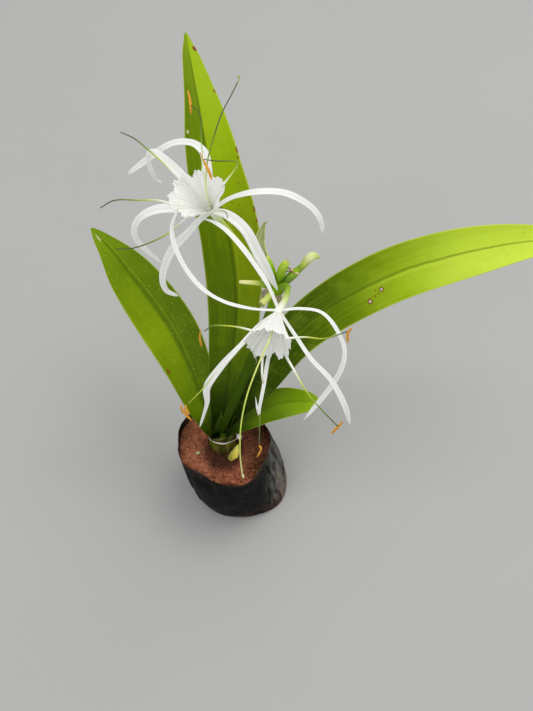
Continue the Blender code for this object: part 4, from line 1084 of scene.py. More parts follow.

# Along each side of the midrib, a place and its colour, with painted shade darkest at the foot and on the
# half turned from the light, and on leaf_right a painted glow of light through it towards its tip. The foot
# is how far the painted shade at the leaf's foot reaches. Each band: place across, reach, strength, colour
# and first place along; a dark band is painted shade in the midrib's groove and a pale one a painted
# highlight beside it. Each mark: place across and along, reach across and along, and its core's and
# rim's colours where it isn't rust
LEAF_LOOKS = {
    "leaf_back": {
        "length": 395.0, "split": (0.44, 0.52), "foot": 0.14, "edge": 0.55, "flecks": 0.12,
        "left": ((0.0, (56, 78, 0)), (0.2, (76, 102, 0)), (0.5, (96, 120, 0)), (0.8, (98, 124, 0)),
                 (1.0, (124, 152, 10))),
        "right": ((0.0, (56, 78, 0)), (0.2, (80, 106, 0)), (0.5, (130, 151, 0)), (0.8, (146, 174, 4)),
                  (1.0, (150, 178, 20))),
        "light": (152, 180, 8), "dark": (64, 88, 0),
        "bands": ((0.47, 0.05, 0.60, (58, 82, 0), -0.2), (0.54, 0.03, 0.30, (158, 180, 30), 0.35)),
        "marks": (
            (0.965, 0.862, 0.014, 0.0030), (0.985, 0.730, 0.010, 0.0050), (0.97, 0.714, 0.010, 0.0024),
            (0.85, 0.660, 0.008, 0.0012), (0.72, 0.636, 0.007, 0.0012), (0.66, 0.625, 0.008, 0.0012),
            (0.76, 0.618, 0.006, 0.0012), (0.70, 0.610, 0.006, 0.0012), (0.74, 0.600, 0.006, 0.0010),
            (0.68, 0.592, 0.006, 0.0012), (0.985, 0.604, 0.010, 0.0040), (0.985, 0.584, 0.009, 0.0030),
            (0.10, 0.775, 0.030, 0.003, PALE_CORE, (150, 170, 90)),
            (0.90, 0.963, 0.08, 0.004, BROWN_RIM, BROWN_RIM),
        ),
    },
    "leaf_left": {
        "length": 225.0, "split": (0.46, 0.54), "foot": 0.09, "edge": 0.65, "flecks": 0.60,
        "left": ((0.0, (66, 90, 0)), (0.25, (104, 130, 0)), (0.5, (134, 160, 4)), (0.8, (108, 136, 0)),
                 (1.0, (122, 152, 12))),
        "right": ((0.0, (60, 84, 0)), (0.25, (84, 110, 0)), (0.5, (88, 116, 0)), (0.8, (104, 132, 0)),
                  (1.0, (118, 148, 12))),
        "light": (150, 176, 20), "dark": (72, 98, 0),
        "bands": ((0.50, 0.07, 0.55, (70, 96, 0), -0.2), (0.57, 0.03, 0.30, (146, 172, 30), 0.25)),
        "marks": ((0.08, 0.34, 0.018, 0.008), (0.40, 0.955, 0.05, 0.014, PALE_CORE, (160, 176, 80))),
    },
    "leaf_right": {
        "length": 405.0, "split": (0.40, 0.52), "foot": 0.13, "edge": 0.70, "flecks": 0.20,
        "left": ((0.0, (30, 48, 0)), (0.27, (46, 68, 0)), (0.42, (84, 110, 0)), (0.56, (142, 170, 16)),
                 (0.70, (188, 214, 58)), (1.0, (204, 230, 72))),
        "right": ((0.0, (30, 48, 0)), (0.27, (54, 78, 0)), (0.42, (98, 124, 0)), (0.56, (152, 180, 22)),
                  (0.70, (190, 214, 62)), (1.0, (206, 230, 72))),
        "light": (186, 212, 56), "dark": (80, 106, 0),
        "bands": ((0.49, 0.035, 0.60, (76, 100, 0), -0.2), (0.55, 0.05, 0.35, (190, 212, 66), 0.42)),
        "marks": (
            (0.76, 0.479, 0.034, 0.0040, GREY_CORE, BROWN_RIM),
            (0.65, 0.513, 0.030, 0.0036, GREY_CORE, BROWN_RIM),
            (0.71, 0.494, 0.010, 0.0015), (0.69, 0.503, 0.010, 0.0014), (0.62, 0.50, 0.008, 0.0012),
        ),
    },
    "leaf_front": {
        "length": 118.0, "split": (0.46, 0.56), "foot": 0.22, "edge": 0.55, "flecks": 0.25,
        "left": ((0.0, (58, 84, 0)), (0.3, (72, 98, 0)), (0.6, (86, 114, 0)), (0.85, (118, 152, 4)),
                 (0.97, (140, 174, 30)), (1.0, (222, 224, 130))),
        "right": ((0.0, (58, 84, 0)), (0.3, (76, 102, 0)), (0.6, (92, 122, 0)), (0.85, (126, 160, 6)),
                  (0.97, (150, 182, 34)), (1.0, (222, 224, 130))),
        "light": (136, 168, 14), "dark": (62, 88, 0),
        "bands": ((0.50, 0.05, 0.40, (66, 92, 0), -0.2),),
        "marks": (),
    },
}


# Scape and flower head, in frames that lean back

SCAPE_POINTS = ((0.5, -0.5, 0), (3, 2, 20), (16, 12, 62), (31, 22, 112), (43, 21, 170), (50, 17, 216))
SCAPE_WIDTHS = ((0.0, 7.0), (0.5, 8.5), (1.0, 7.5))
SCAPE_FLATNESS = 0.58
SCAPE_MESH = (110, 28)
UMBEL_CENTRE = np.array((35.0, 20.0, 319.0))
KNOB_RADIUS = 5.5
KNOB_RADII = ((0.0, 3.6), (0.3, 5.2), (0.6, 5.4), (0.85, 4.2), (1.0, 1.6))
KNOB_MESH = (26, 28)
THROAT_UPPER = np.array((-10.0, 37.0, 385.0))
THROAT_LOWER = np.array((35.0, -28.0, 362.0))
CLEARANCE = 0.4

LEAN = np.array(Matrix.Rotation(HEAD_TILT, 3, "X"))


def from_head(centre):
    """A function that takes points of the leaning frame at centre to the object's own frame."""
    def place(points):
        return np.asarray(points, dtype=float) @ LEAN.T + centre
    return place


def add_scape(material):
    """The flattened, finely ribbed stem, and the knob that carries the flowers."""
    rows, sides = SCAPE_MESH
    route = even_route(SCAPE_POINTS, rows) + LEAF_FOOT
    normals = facing_normals(route, HEAD_OUT, np.zeros(rows))
    builder = Builder()
    stem = rod_grid(route, smooth_profile(SCAPE_WIDTHS, rows) / 2.0, sides, normals, ribs=9,
                    rib_depth=0.02, flatness=SCAPE_FLATNESS)
    builder.grid(stem, ring_places(rows, sides))
    knob = ((0.0, -KNOB_RADIUS * 0.8, -2.0), (0.0, 0.0, 0.0), (0.0, KNOB_RADIUS * 0.75, 1.5))
    add_rod(builder, from_head(UMBEL_CENTRE)(knob), KNOB_RADII, *KNOB_MESH, v_span=(0.9, 1.0), ribs=7,
            rib_depth=0.05)
    add_piece("scape_stem", builder, material, "scape", "scape")


def scape_material():
    graph = Graph("scape_green", roughness=0.55, Specular_IOR_Level=0.06)
    fibres = graph.fibres(22.0, 4.0, 3.0)
    # The near-black foot of the ramp is painted shade among the leaf bases.
    graph.colour = graph.ramp(graph.v, ((0.0, (16, 30, 0)), (0.2, (44, 68, 0)), (0.5, (58, 84, 0)),
                                        (0.85, (84, 114, 2)), (0.9, (110, 150, 4)), (1.0, (128, 168, 14))))
    graph.mottle(fibres, 0.4, 0.7, 0.18, (104, 130, 10))
    return graph.finish(graph.bump(fibres, 0.3, 0.3))


UPPER_BLOOM = {
    "throat": THROAT_UPPER,
    "tube_stops": ((0.0, (104, 146, 4)), (0.14, (140, 178, 20)), (0.5, (172, 198, 52)),
                   (0.80, (190, 210, 90)), (0.92, (240, 243, 226)), (1.0, (250, 250, 242))),
    "filament_stops": ((0.0, (250, 250, 246)), (0.34, (244, 246, 230)), (0.48, (190, 206, 92)),
                       (0.62, (128, 156, 34)), (0.8, (72, 96, 16)), (1.0, (58, 78, 20))),
    "style_stops": ((0.0, (246, 246, 206)), (0.25, (234, 238, 168)), (0.40, (206, 218, 104)),
                    (0.48, (130, 156, 20)), (0.56, (108, 132, 16)), (0.62, (66, 86, 30)),
                    (0.96, (72, 94, 38)), (1.0, (176, 200, 110))),
    "tube": ((30, -32, -36), (12, -13, -16)),
    "tube_foot": (-0.50, 0.55, 0.66),
    "axis": (-0.245, 0.18, 0.95),
    "depth": 32.0,
    "rim": 17.0,
    "squash": 0.15,
    "tepals": (
        {"points": ((-2, 22, 7), (-2.7, 29.7, 10), (-4.8, 37.4, 11), (-13, 43.5, 10),
                    (-27, 43, 8), (-44, 34, 0), (-59, 27, -12)),
         "face": (0.0, 0.1, 1.0), "width": 6.4,
         "shares": ((0.0, 0.45), (0.12, 0.8), (0.22, 1.0), (0.34, 0.95), (0.46, 0.72), (0.6, 0.66),
                    (0.8, 0.72), (0.9, 0.62), (0.97, 0.35), (1.0, 0.05))},
        {"points": ((-18, 21, 8), (-33, 34, 12), (-40, 37.5, 9), (-42, 33.5, 3), (-40.8, 27, -4),
                    (-38.8, 23.9, -12), (-35.1, 22.6, -20)),
         "width": 5.8,
         "shares": ((0.0, 0.5), (0.15, 0.75), (0.35, 1.0), (0.55, 0.9), (0.65, 0.6), (0.85, 0.48),
                    (0.95, 0.3), (1.0, 0.06))},
        {"points": ((13, 7, 8), (30, 10, 14), (49, 10, 10), (65, 4, 0), (73.6, -4, -10),
                    (76.4, -13.6, -22)),
         "face": (0.0, 0.4, 1.0), "width": 5.4,
         "shares": ((0.0, 0.45), (0.15, 0.62), (0.4, 0.92), (0.65, 1.0), (0.84, 0.85), (0.94, 0.5),
                    (1.0, 0.06))},
        {"points": ((-25, 2, -2), (-40, 0, 0), (-51, -6, -6), (-54, -15, -16), (-48, -23, -28),
                    (-38, -31, -42)),
         "face": (0.0, 0.2, 1.0), "width": 6.6,
         "shares": ((0.0, 0.6), (0.12, 0.82), (0.3, 1.0), (0.5, 0.8), (0.7, 0.6), (0.86, 0.5), (0.95, 0.3),
                    (1.0, 0.05))},
        {"points": ((-8, -6, 0), (-16, -14, -4), (-28, -26, -9), (-35, -41, -18),
                    (-34, -51, -27), (-26, -55, -34)),
         "width": 6.0,
         "shares": ((0.0, 0.5), (0.15, 0.7), (0.4, 1.0), (0.6, 0.92), (0.8, 0.72), (0.92, 0.5),
                    (0.98, 0.3), (1.0, 0.08))},
        {"points": ((11, -4, 8), (23, -14, 8), (32, -30, 0), (39, -42, -10), (45, -52, -24)),
         "width": 6.9,
         "shares": ((0.0, 0.5), (0.1, 0.72), (0.25, 0.98), (0.6, 1.0), (0.78, 0.8), (0.9, 0.45),
                    (1.0, 0.05))},
    ),
    "stamens": (
        {"rim_angle": 135, "points": ((-27.5, 24.8, 27), (-38, 34, 26), (-49, 44, 18), (-60, 51, 8))},
        {"rim_angle": 196, "points": ((-33.7, 2.9, 23), (-46.2, 3.6, 20), (-63, 5, 12), (-75, 2, 0))},
        {"rim_angle": 250, "points": ((-22, -15, 24), (-33, -21, 18), (-50, -26, 10), (-64, -26, 2))},
        {"rim_angle": 75, "points": ((-4, 31, 30), (-5, 44, 27), (-6, 59, 20), (-13, 68, 12)),
         "anther": ((-15, 78, 11), (-13, 68, 12.5), (-13, 62, 11)), "slim": True},
        {"rim_angle": 15, "points": ((17, 21, 33), (18, 26, 32), (6, 25, 38), (-2, 25, 42)),
         "anther": ((-4.4, 29.2, 44), (-2, 23.5, 44.4), (0.8, 18, 44.3), (3.1, 12.1, 44)),
         "anther_sizes": ((0.0, 0.2), (0.3, 0.36), (0.45, 0.7), (0.85, 0.78), (1.0, 0.3))},
        {"rim_angle": 315, "points": ((6, -5, 34), (11, -6, 31), (12, -9, 27)),
         "short": True},
    ),
    "style": ((-2, 10, 24), (0, 23, 42), (4, 36, 48), (9, 52, 46), (15, 66, 40), (19.6, 78.4, 32)),
    "style_radii": ((0.0, 0.7), (0.3, 0.6), (0.5, 0.44), (1.0, 0.38)),
    "stigma": ((19.6, 78.4, 32), (19.5, 80.2, 31.6), (18.1, 80.6, 32)),
    "stigma_radius": 0.6,
}

LOWER_BLOOM = {
    "throat": THROAT_LOWER,
    "tube_stops": ((0.0, (104, 146, 4)), (0.30, (124, 164, 10)), (0.55, (166, 194, 60)),
                   (0.75, (216, 226, 156)), (0.9, (246, 247, 234)), (1.0, (250, 250, 242))),
    "filament_stops": ((0.0, (250, 250, 246)), (0.40, (246, 247, 232)), (0.54, (192, 208, 60)),
                       (0.74, (128, 154, 20)), (0.9, (70, 92, 20)), (1.0, (58, 76, 24))),
    "style_stops": ((0.0, (236, 242, 190)), (0.3, (224, 232, 128)), (0.6, (208, 226, 92)),
                    (0.85, (212, 226, 108)), (1.0, (238, 238, 170))),
    "tube": ((7, 19, -45), (6.5, 14, -30), (4.2, 7, -14)),
    "tube_foot": (0.60, 0.0, 0.80),
    "axis": (-0.23, -0.78, 0.58),
    "depth": 28.0,
    "rim": 13.9,
    "squash": 0.0,
    "tepals": (
        {"points": ((-18, 1, 4), (-35, 5, 8), (-49, 13, 10), (-60, 26, 13), (-67, 41, 17),
                    (-68, 53, 21), (-63, 64, 26)),
         "face": (0.0, 0.3, 1.0), "width": 4.1, "roll": 35},
        {"points": ((14, 1, 4), (28, -2, 10), (38, -14, 10), (43, -29, 5), (37, -47, -4),
                    (17, -74, -18)),
         "face": (0.0, 0.3, 1.0), "width": 3.7, "roll": -20,
         "shares": ((0.0, 0.5), (0.15, 0.62), (0.35, 0.78), (0.6, 0.95), (0.8, 1.0), (0.92, 0.65),
                    (1.0, 0.06))},
        {"points": ((11, -17, 8), (21, -32, 13), (34, -46, 11), (43, -62, 4), (48, -76, -8)),
         "width": 3.9,
         "shares": ((0.0, 0.45), (0.3, 0.66), (0.6, 0.85), (0.8, 1.0), (0.92, 0.75), (0.98, 0.3),
                    (1.0, 0.06))},
        {"points": ((-14, -10, 2), (-26, -24, 6), (-37, -36, 6), (-47, -50, 0), (-48, -62, -9),
                    (-54, -79, -26)),
         "width": 5.0,
         "shares": ((0.0, 0.30), (0.2, 0.35), (0.4, 0.75), (0.58, 1.0), (0.70, 0.85), (0.80, 0.50),
                    (0.92, 0.34), (0.98, 0.18), (1.0, 0.06))},
        {"points": ((-3, -16, -2), (-7, -32, 3), (-10, -50, 6), (-12.4, -63, 3), (-13, -68.6, -2),
                    (-14, -66, -8), (-15.5, -57.6, -17)),
         "face": (0.3, 0.0, 1.0), "width": 2.9,
         "shares": ((0.0, 0.5), (0.25, 0.7), (0.38, 0.95), (0.5, 0.9), (0.65, 0.8), (0.76, 0.6),
                    (0.82, 0.5), (0.9, 0.5), (1.0, 0.06))},
        {"points": ((-5, 12, 4), (-10, 21, 8), (-23, 39, 12), (-34, 51, 12), (-43, 57, 11),
                    (-51, 59, 10)),
         "width": 3.9, "roll": 30},
    ),
    "stamens": (
        {"rim_angle": 126, "points": ((-25, -12, 30), (-34, -11, 31), (-42, -11, 26), (-48, -14, 14)),
         "anther": ((-50, -13, 16), (-51, -18, 13), (-50, -24, 8)),
         "anther_sizes": ((0.0, 0.2), (0.2, 0.45), (0.5, 0.6), (0.85, 0.5), (1.0, 0.2))},
        {"rim_angle": 40, "points": ((16, -18, 26), (27, -19, 24), (36, -17, 19), (44, -14, 10)),
         "anther": ((47.3, -11.6, 12), (44.6, -15.4, 10), (45.0, -21.2, 7))},
        {"rim_angle": 318, "points": ((9, -38, 19), (17, -52, 22), (26, -63, 18), (38.2, -75.5, 8)),
         "anther": ((41.6, -72.4, 9), (38.6, -76, 7), (34.2, -80.8, 5))},
        {"rim_angle": 254, "points": ((-10.9, -41, 15), (-10.4, -49, 4), (-11.4, -58.3, -1),
                                      (-12.3, -67.6, -3), (-12.8, -88, 5)),
         "anther": ((-13.0, -88.2, 6), (-11.6, -90.7, 5), (-14, -96.5, 0))},
        {"rim_angle": 190, "points": ((-31, -31, 22), (-41, -41, 20), (-49, -51, 13), (-59, -61, 5)),
         "anther": ((-64, -61.6, 5), (-62.8, -65.8, 4), (-57.6, -72, 2)),
         "strand": ((-60.9, -61.6, 5), (-60.6, -64.9, 4.5), (-58.5, -68.2, 3.5)), "pale": True},
        {"rim_angle": 228, "points": ((-14.5, -33, 3), (-15.5, -35.5, 1)),
         "short": True},
    ),
    "style": ((-3, -10, 14), (-6, -19, 24), (-13, -35, 31), (-20, -54, 32), (-24, -73, 26), (-25, -92, 14),
              (-24, -107, 2)),
    "style_radii": ((0.0, 0.6), (0.3, 0.55), (0.7, 0.46), (1.0, 0.42)),
    "stigma": ((-24, -107, 2), (-23.4, -109, 0.8), (-22.8, -110, 0.4)),
    "stigma_radius": 0.65,
}

BLOOMS = {"bloom_upper": UPPER_BLOOM, "bloom_lower": LOWER_BLOOM}
CORONA_THROAT = 1.4
CORONA_FLARE = 1.15
CORONA_PLEAT = 0.7
CORONA_CRIMP = 0.26
CORONA_TOOTH = 1.4
CORONA_LOBES = 12.0
CORONA_CRIMPS = 42.0
CORONA_WALL = 0.35
CORONA_ROWS = 40
CORONA_SIDES = 336
PEAK_HEIGHT = 1.8
PEAK_REACH = 0.14
CORNER_OUT = 2.6
CORNER_REACH = 0.34
CORNER_BACK = 0.8
# How far a tube runs on into its funnel
TUBE_TOP = 4.5
# Along each rod, a place and its radius. Each mesh is a pair of counts: along the limb and round it
TUBE_RADII = ((0.0, 2.6), (0.07, 3.1), (0.16, 2.5), (0.28, 2.0), (0.6, 2.1), (0.88, 2.6), (0.94, 2.8),
              (1.0, 2.3))
TUBE_MESH = (90, 24)
TEPAL_ROWS = 84
TEPAL_COLUMNS = 10
# At places along a tepal, how far its section turns and how thick it is
TEPAL_TURNS = ((0.0, 0.1, 0.9, 1.0), (0.9, 0.42, 0.42, 0.9))
TEPAL_THICKNESSES = ((0.0, 0.3, 1.0), (1.1, 0.7, 0.55))
TEPAL_SWAY = 4.0
TEPAL_WAVE = 0.12
TEPAL_GROOVE = 0.16
TEPAL_KEEL = 0.18
TEPAL_SHARES = ((0.0, 0.5), (0.12, 0.64), (0.35, 0.9), (0.6, 1.0), (0.8, 0.84), (0.91, 0.52), (0.98, 0.22),
                (1.0, 0.07))
TEPAL_FACE = (0.0, 0.0, 1.0)
# The places on the funnel's wall through which a filament rises
FILAMENT_WALL = (0.45, 0.72, 0.97, 1.0)
FILAMENT_RADII = ((0.0, 0.45), (0.12, 0.85), (0.3, 0.85), (0.48, 0.58), (0.8, 0.42), (1.0, 0.34))
FILAMENT_MESH = (80, 10)
SLIM_RADII = ((0.0, 0.45), (0.12, 0.6), (0.3, 0.45), (0.5, 0.3), (1.0, 0.28))
SHORT_RADII = ((0.0, 0.4), (0.6, 0.5), (0.85, 0.36), (1.0, 0.3))
SHORT_MESH = (50, 10)
# The short filaments' grey-green is painted shade, as they hang in shadow under the funnel.
SHORT_STOPS = ((0.0, (248, 248, 244)), (0.7, (206, 212, 190)), (0.85, (140, 152, 112)),
               (1.0, (104, 118, 84)))
ANTHER_SIZES = ((0.0, 0.25), (0.12, 0.6), (0.4, 0.8), (0.8, 0.7), (1.0, 0.3))
ANTHER_MESH = (40, 14)
STYLE_MESH = (90, 10)
# The stigma's radius along it, as a share of its greatest
STIGMA_SHARES = np.array(((0.0, 0.5), (0.5, 0.85), (0.85, 1.0), (1.0, 0.4)))
STIGMA_MESH = (16, 12)


def corona_point(design, share, angle):
    """Points on the funnel's wall: pleated, with a tooth at each filament and small ones between."""
    ahead = unit(np.array(design["axis"]))
    right = unit(np.array((1.0, 0.0, 0.0)) - ahead * ahead[0])
    upward = np.cross(ahead, right)
    wave = np.cos(CORONA_LOBES * angle)
    crimp = np.cos(CORONA_CRIMPS * angle + 1.1 * np.sin(5.0 * angle))
    flare = (design["rim"] - CORONA_THROAT) * share ** CORONA_FLARE
    wobble = 0.6 * np.sin(2.0 * angle + 0.9) + 0.4 * np.sin(5.0 * angle)
    peaks = 0.0
    corners = -CORNER_BACK
    for stamen in design["stamens"]:
        apart = np.mod(angle - math.radians(stamen["rim_angle"]) + math.pi, TURN) - math.pi
        peaks = peaks + PEAK_HEIGHT * np.exp(-(apart / PEAK_REACH) ** 2)
        corners = corners + CORNER_OUT * np.exp(-(apart / CORNER_REACH) ** 2)
    radius = (CORONA_THROAT + flare + corners * share ** 2.5
              + (CORONA_PLEAT * wave + CORONA_CRIMP * crimp + wobble * share ** 2) * share)
    radius = radius * (1.0 - design["squash"] * share * np.sin(angle) ** 2)
    teeth = 0.55 * crimp + 0.7 * np.sin(17.0 * angle + 2.0 * np.sin(3.0 * angle)) - 0.4
    height = (design["depth"] * share + CORONA_TOOTH * share ** 3 * wave
              + (peaks + teeth) * share ** 7)
    spoke = right * np.cos(angle)[..., None] + upward * np.sin(angle)[..., None]
    return ahead * height[..., None] + spoke * radius[..., None]


def add_corona(name, design, material):
    """The funnel: a thin pleated wall with an inner and an outer side."""
    share, angle = np.meshgrid(np.linspace(0.0, 1.0, CORONA_ROWS), round_angles(CORONA_SIDES),
                               indexing="ij")
    middle = corona_point(design, share, angle)
    around = np.roll(middle, -1, axis=1) - np.roll(middle, 1, axis=1)
    out = np.cross(around, np.gradient(middle, axis=0))
    out *= CORONA_WALL / 2.0 / np.linalg.norm(out, axis=2)[..., None]
    points = np.concatenate([middle - out, (middle + out)[::-1]])
    places = np.stack([angle / TURN, share], axis=-1)
    places = np.concatenate([places, places[::-1]])
    under = np.broadcast_to(np.repeat([0.0, 1.0], CORONA_ROWS)[:, None], points.shape[:2])
    add_grid(name + "_funnel", material, "petal", name, from_head(design["throat"])(points), places, under,
             loop=True, turns=1.0)


def add_tepals(name, design, material):
    """The six narrow petals, each a channelled ribbon with a faint keel and a pinched tip."""
    place = from_head(design["throat"])
    builder = Builder()
    spread = np.linspace(-1.0, 1.0, TEPAL_COLUMNS + 1)[None, :]
    along = np.linspace(0.0, 1.0, TEPAL_ROWS)
    turns, thick = (np.interp(along, *pairs) for pairs in (TEPAL_TURNS, TEPAL_THICKNESSES))
    for number, tepal in enumerate(design["tepals"]):
        route = even_route(((0, 0, 0), *tepal["points"]), TEPAL_ROWS)
        rolls = tepal.get("roll", 0.0) + TEPAL_SWAY * np.sin(5.0 * along + number) * along
        normals = facing_normals(route, np.array(tepal.get("face", TEPAL_FACE)), rolls)
        widths = smooth_profile(tepal.get("shares", TEPAL_SHARES), TEPAL_ROWS) * tepal["width"]
        wave = TEPAL_WAVE * np.sin(24.0 * along[:, None] + 2.0 * spread + number) * spread ** 2
        points, places, under = blade_grid(route, normals, widths, turns, thick, TEPAL_COLUMNS,
                                           groove=TEPAL_GROOVE, keel=TEPAL_KEEL, edge=0.4,
                                           ripple=wave)
        builder.grid(place(points), places, under)
    add_piece(name + "_tepals", builder, material, "petal", name)


def add_stamens(name, design, filament_tone, short_tone, anther_tone):
    """Filaments that leave the funnel's rim, the shrunken short ones apart, and the anthers."""
    place = from_head(design["throat"])
    filaments, short_ones, anthers = Builder(), Builder(), Builder()
    for stamen in design["stamens"]:
        angle = np.array(math.radians(stamen["rim_angle"]))
        wall = (corona_point(design, np.array(share), angle) for share in FILAMENT_WALL)
        route = (*wall, *stamen["points"])
        if stamen.get("short"):
            add_rod(short_ones, route, SHORT_RADII, *SHORT_MESH, place)
        elif stamen.get("slim"):
            add_rod(filaments, route, SLIM_RADII, *FILAMENT_MESH, place, v_span=(0.16, 1.0))
        else:
            last = 0.68 if stamen.get("pale") else 1.0
            add_rod(filaments, route, FILAMENT_RADII, *FILAMENT_MESH, place, v_span=(0.0, last))
        for strand in ("anther", "strand"):
            if strand in stamen:
                add_rod(anthers, stamen[strand], stamen.get("anther_sizes", ANTHER_SIZES), *ANTHER_MESH,
                        place, ribs=4, rib_depth=0.16, flatness=0.8)
    for ending, builder, tone in (("_filaments", filaments, filament_tone),
                                  ("_short_filament", short_ones, short_tone),
                                  ("_anthers", anthers, anther_tone)):
        add_piece(name + ending, builder, tone, "petal", name)


def add_style(name, design, material):
    """The style, and the small three-lobed stigma at its tip."""
    place = from_head(design["throat"])
    builder = Builder()
    add_rod(builder, ((0, 0, 0), *design["style"]), design["style_radii"], *STYLE_MESH, place)
    radii = STIGMA_SHARES * (1.0, design["stigma_radius"])
    add_rod(builder, design["stigma"], radii, *STIGMA_MESH, place, v_span=(0.97, 1.0), ribs=3,
            rib_depth=0.2)
    add_piece(name + "_style", builder, material, "petal", name)


def add_tube(name, design, material):
    """The long floral tube from inside the knob to the throat, faintly ribbed and wider at the top."""
    knob = LEAN.T @ (UMBEL_CENTRE - design["throat"])
    way = unit(np.array(design["tube_foot"])) * (KNOB_RADIUS + CLEARANCE)
    top = unit(np.array(design["axis"])) * TUBE_TOP
    points = (knob + way * 0.6, knob + way, *design["tube"], (0, 0, 0), top)
    builder = Builder()
    add_rod(builder, points, TUBE_RADII, *TUBE_MESH, from_head(design["throat"]), ribs=6, rib_depth=0.05)
    add_piece(name + "_tube", builder, material, "petal", name)


def tepal_material():
    """White with soft grey lines along it, greenish at its foot and tip."""
    graph = Graph("petal_white", roughness=0.5, Specular_IOR_Level=0.30, Subsurface_Weight=0.30,
                  Subsurface_Scale=0.006, Subsurface_Radius=(1.0, 0.98, 0.94))
    streak = graph.fibres(16.0, 5.0, 3.0, 0.6)
    graph.colour = graph.ramp(graph.v, ((0.0, (230, 236, 206)), (0.07, (244, 245, 238)),
                                        (0.2, (249, 249, 247)), (0.95, (248, 248, 244)),
                                        (1.0, (220, 228, 184))))
    graph.mottle(streak, 0.55, 0.30, 0.25, (218, 221, 212))
    graph.mottle(graph.noise(graph.place, 70.0, 3.0), 0.60, 0.75, 0.14, (226, 230, 214))
    # A grey band down the middle: partly the tepal's own tinge, partly painted shade in its channel.
    graph.tint(graph.near(graph.u, 0.5, 0.16), 0.34, (200, 204, 194))
    green = graph.times(graph.near(graph.u, 0.5, 0.12), graph.fade(graph.v, 0.25, 0.02))
    graph.tint(green, 0.4, (206, 220, 170))
    return graph.finish(graph.bump(streak, 0.25, 0.25))


def funnel_material():
    """Thin and white, with grey lines that spread from the throat on its inner side."""
    graph = Graph("funnel_white", roughness=0.5, Specular_IOR_Level=0.25, Subsurface_Weight=0.30,
                  Subsurface_Scale=0.010, Subsurface_Radius=(1.0, 0.98, 0.92))
    lines = graph.fibres(95.0, 1.2, 3.0, 0.55)
    fine = graph.fibres(260.0, 2.0)
    broad = graph.fibres(44.0, 0.5, 1.0, 0.4)
    inside = graph.work("SUBTRACT", 1.0, graph.times(graph.under(), 0.75))
    graph.colour = graph.ramp(graph.v, ((0.0, (240, 243, 220)), (0.16, (248, 249, 240)),
                                        (0.4, (250, 250, 247)), (1.0, (252, 252, 250))))
    grooves = graph.times(graph.near(broad, 0.5, 0.024), graph.fade(graph.v, 0.10, 0.45))
    graph.tint(graph.times(grooves, inside), 0.6, (164, 168, 138))
    graph.tint(graph.times(graph.fade(lines, 0.44, 0.30), inside), 0.25, (190, 196, 184))
    graph.mottle(fine, 0.40, 0.26, 0.15, (212, 216, 206))
    return graph.finish(graph.bump(fine, 0.15, 0.2, graph.bump(lines, 0.35, 0.4)))


def filament_material(name, stops):
    graph = Graph(name)
    grain = graph.fibres(6.0, 50.0)
    graph.colour = graph.ramp(graph.v, stops)
    graph.mottle(grain, 0.55, 0.30, 0.3, (60, 84, 22), "MULTIPLY")
    return graph.finish(graph.bump(grain, 0.2, 0.1))


def anther_material():
    graph = Graph("anther_orange", roughness=0.75)
    grain = graph.noise(graph.place, 1500.0, 3.0, 0.7)
    graph.colour = graph.mix(graph.fade(graph.fibres(3.0, 9.0), 0.36, 0.56), (178, 108, 14), (238, 172, 40))
    graph.mottle(grain, 0.5, 0.3, 0.6, (104, 54, 8))
    return graph.finish(graph.bump(grain, 0.7, 0.4))


def tube_material(name, stops):
    graph = Graph(name, Subsurface_Weight=0.12, Subsurface_Scale=0.003)
    ribs = graph.fibres(12.0, 4.0, 3.0)
    graph.colour = graph.ramp(graph.v, stops)
    graph.mottle(ribs, 0.50, 0.30, 0.35, (140, 168, 60))
    return graph.finish(graph.bump(ribs, 0.35, 0.35))


# Buds, spent tube and bracts

def from_knob(direction, *rest):
    """Points that start just under the knob's surface and go on through the rest."""
    start = unit(np.array(direction, dtype=float)) * (KNOB_RADIUS * 0.75)
    return (start, *rest)


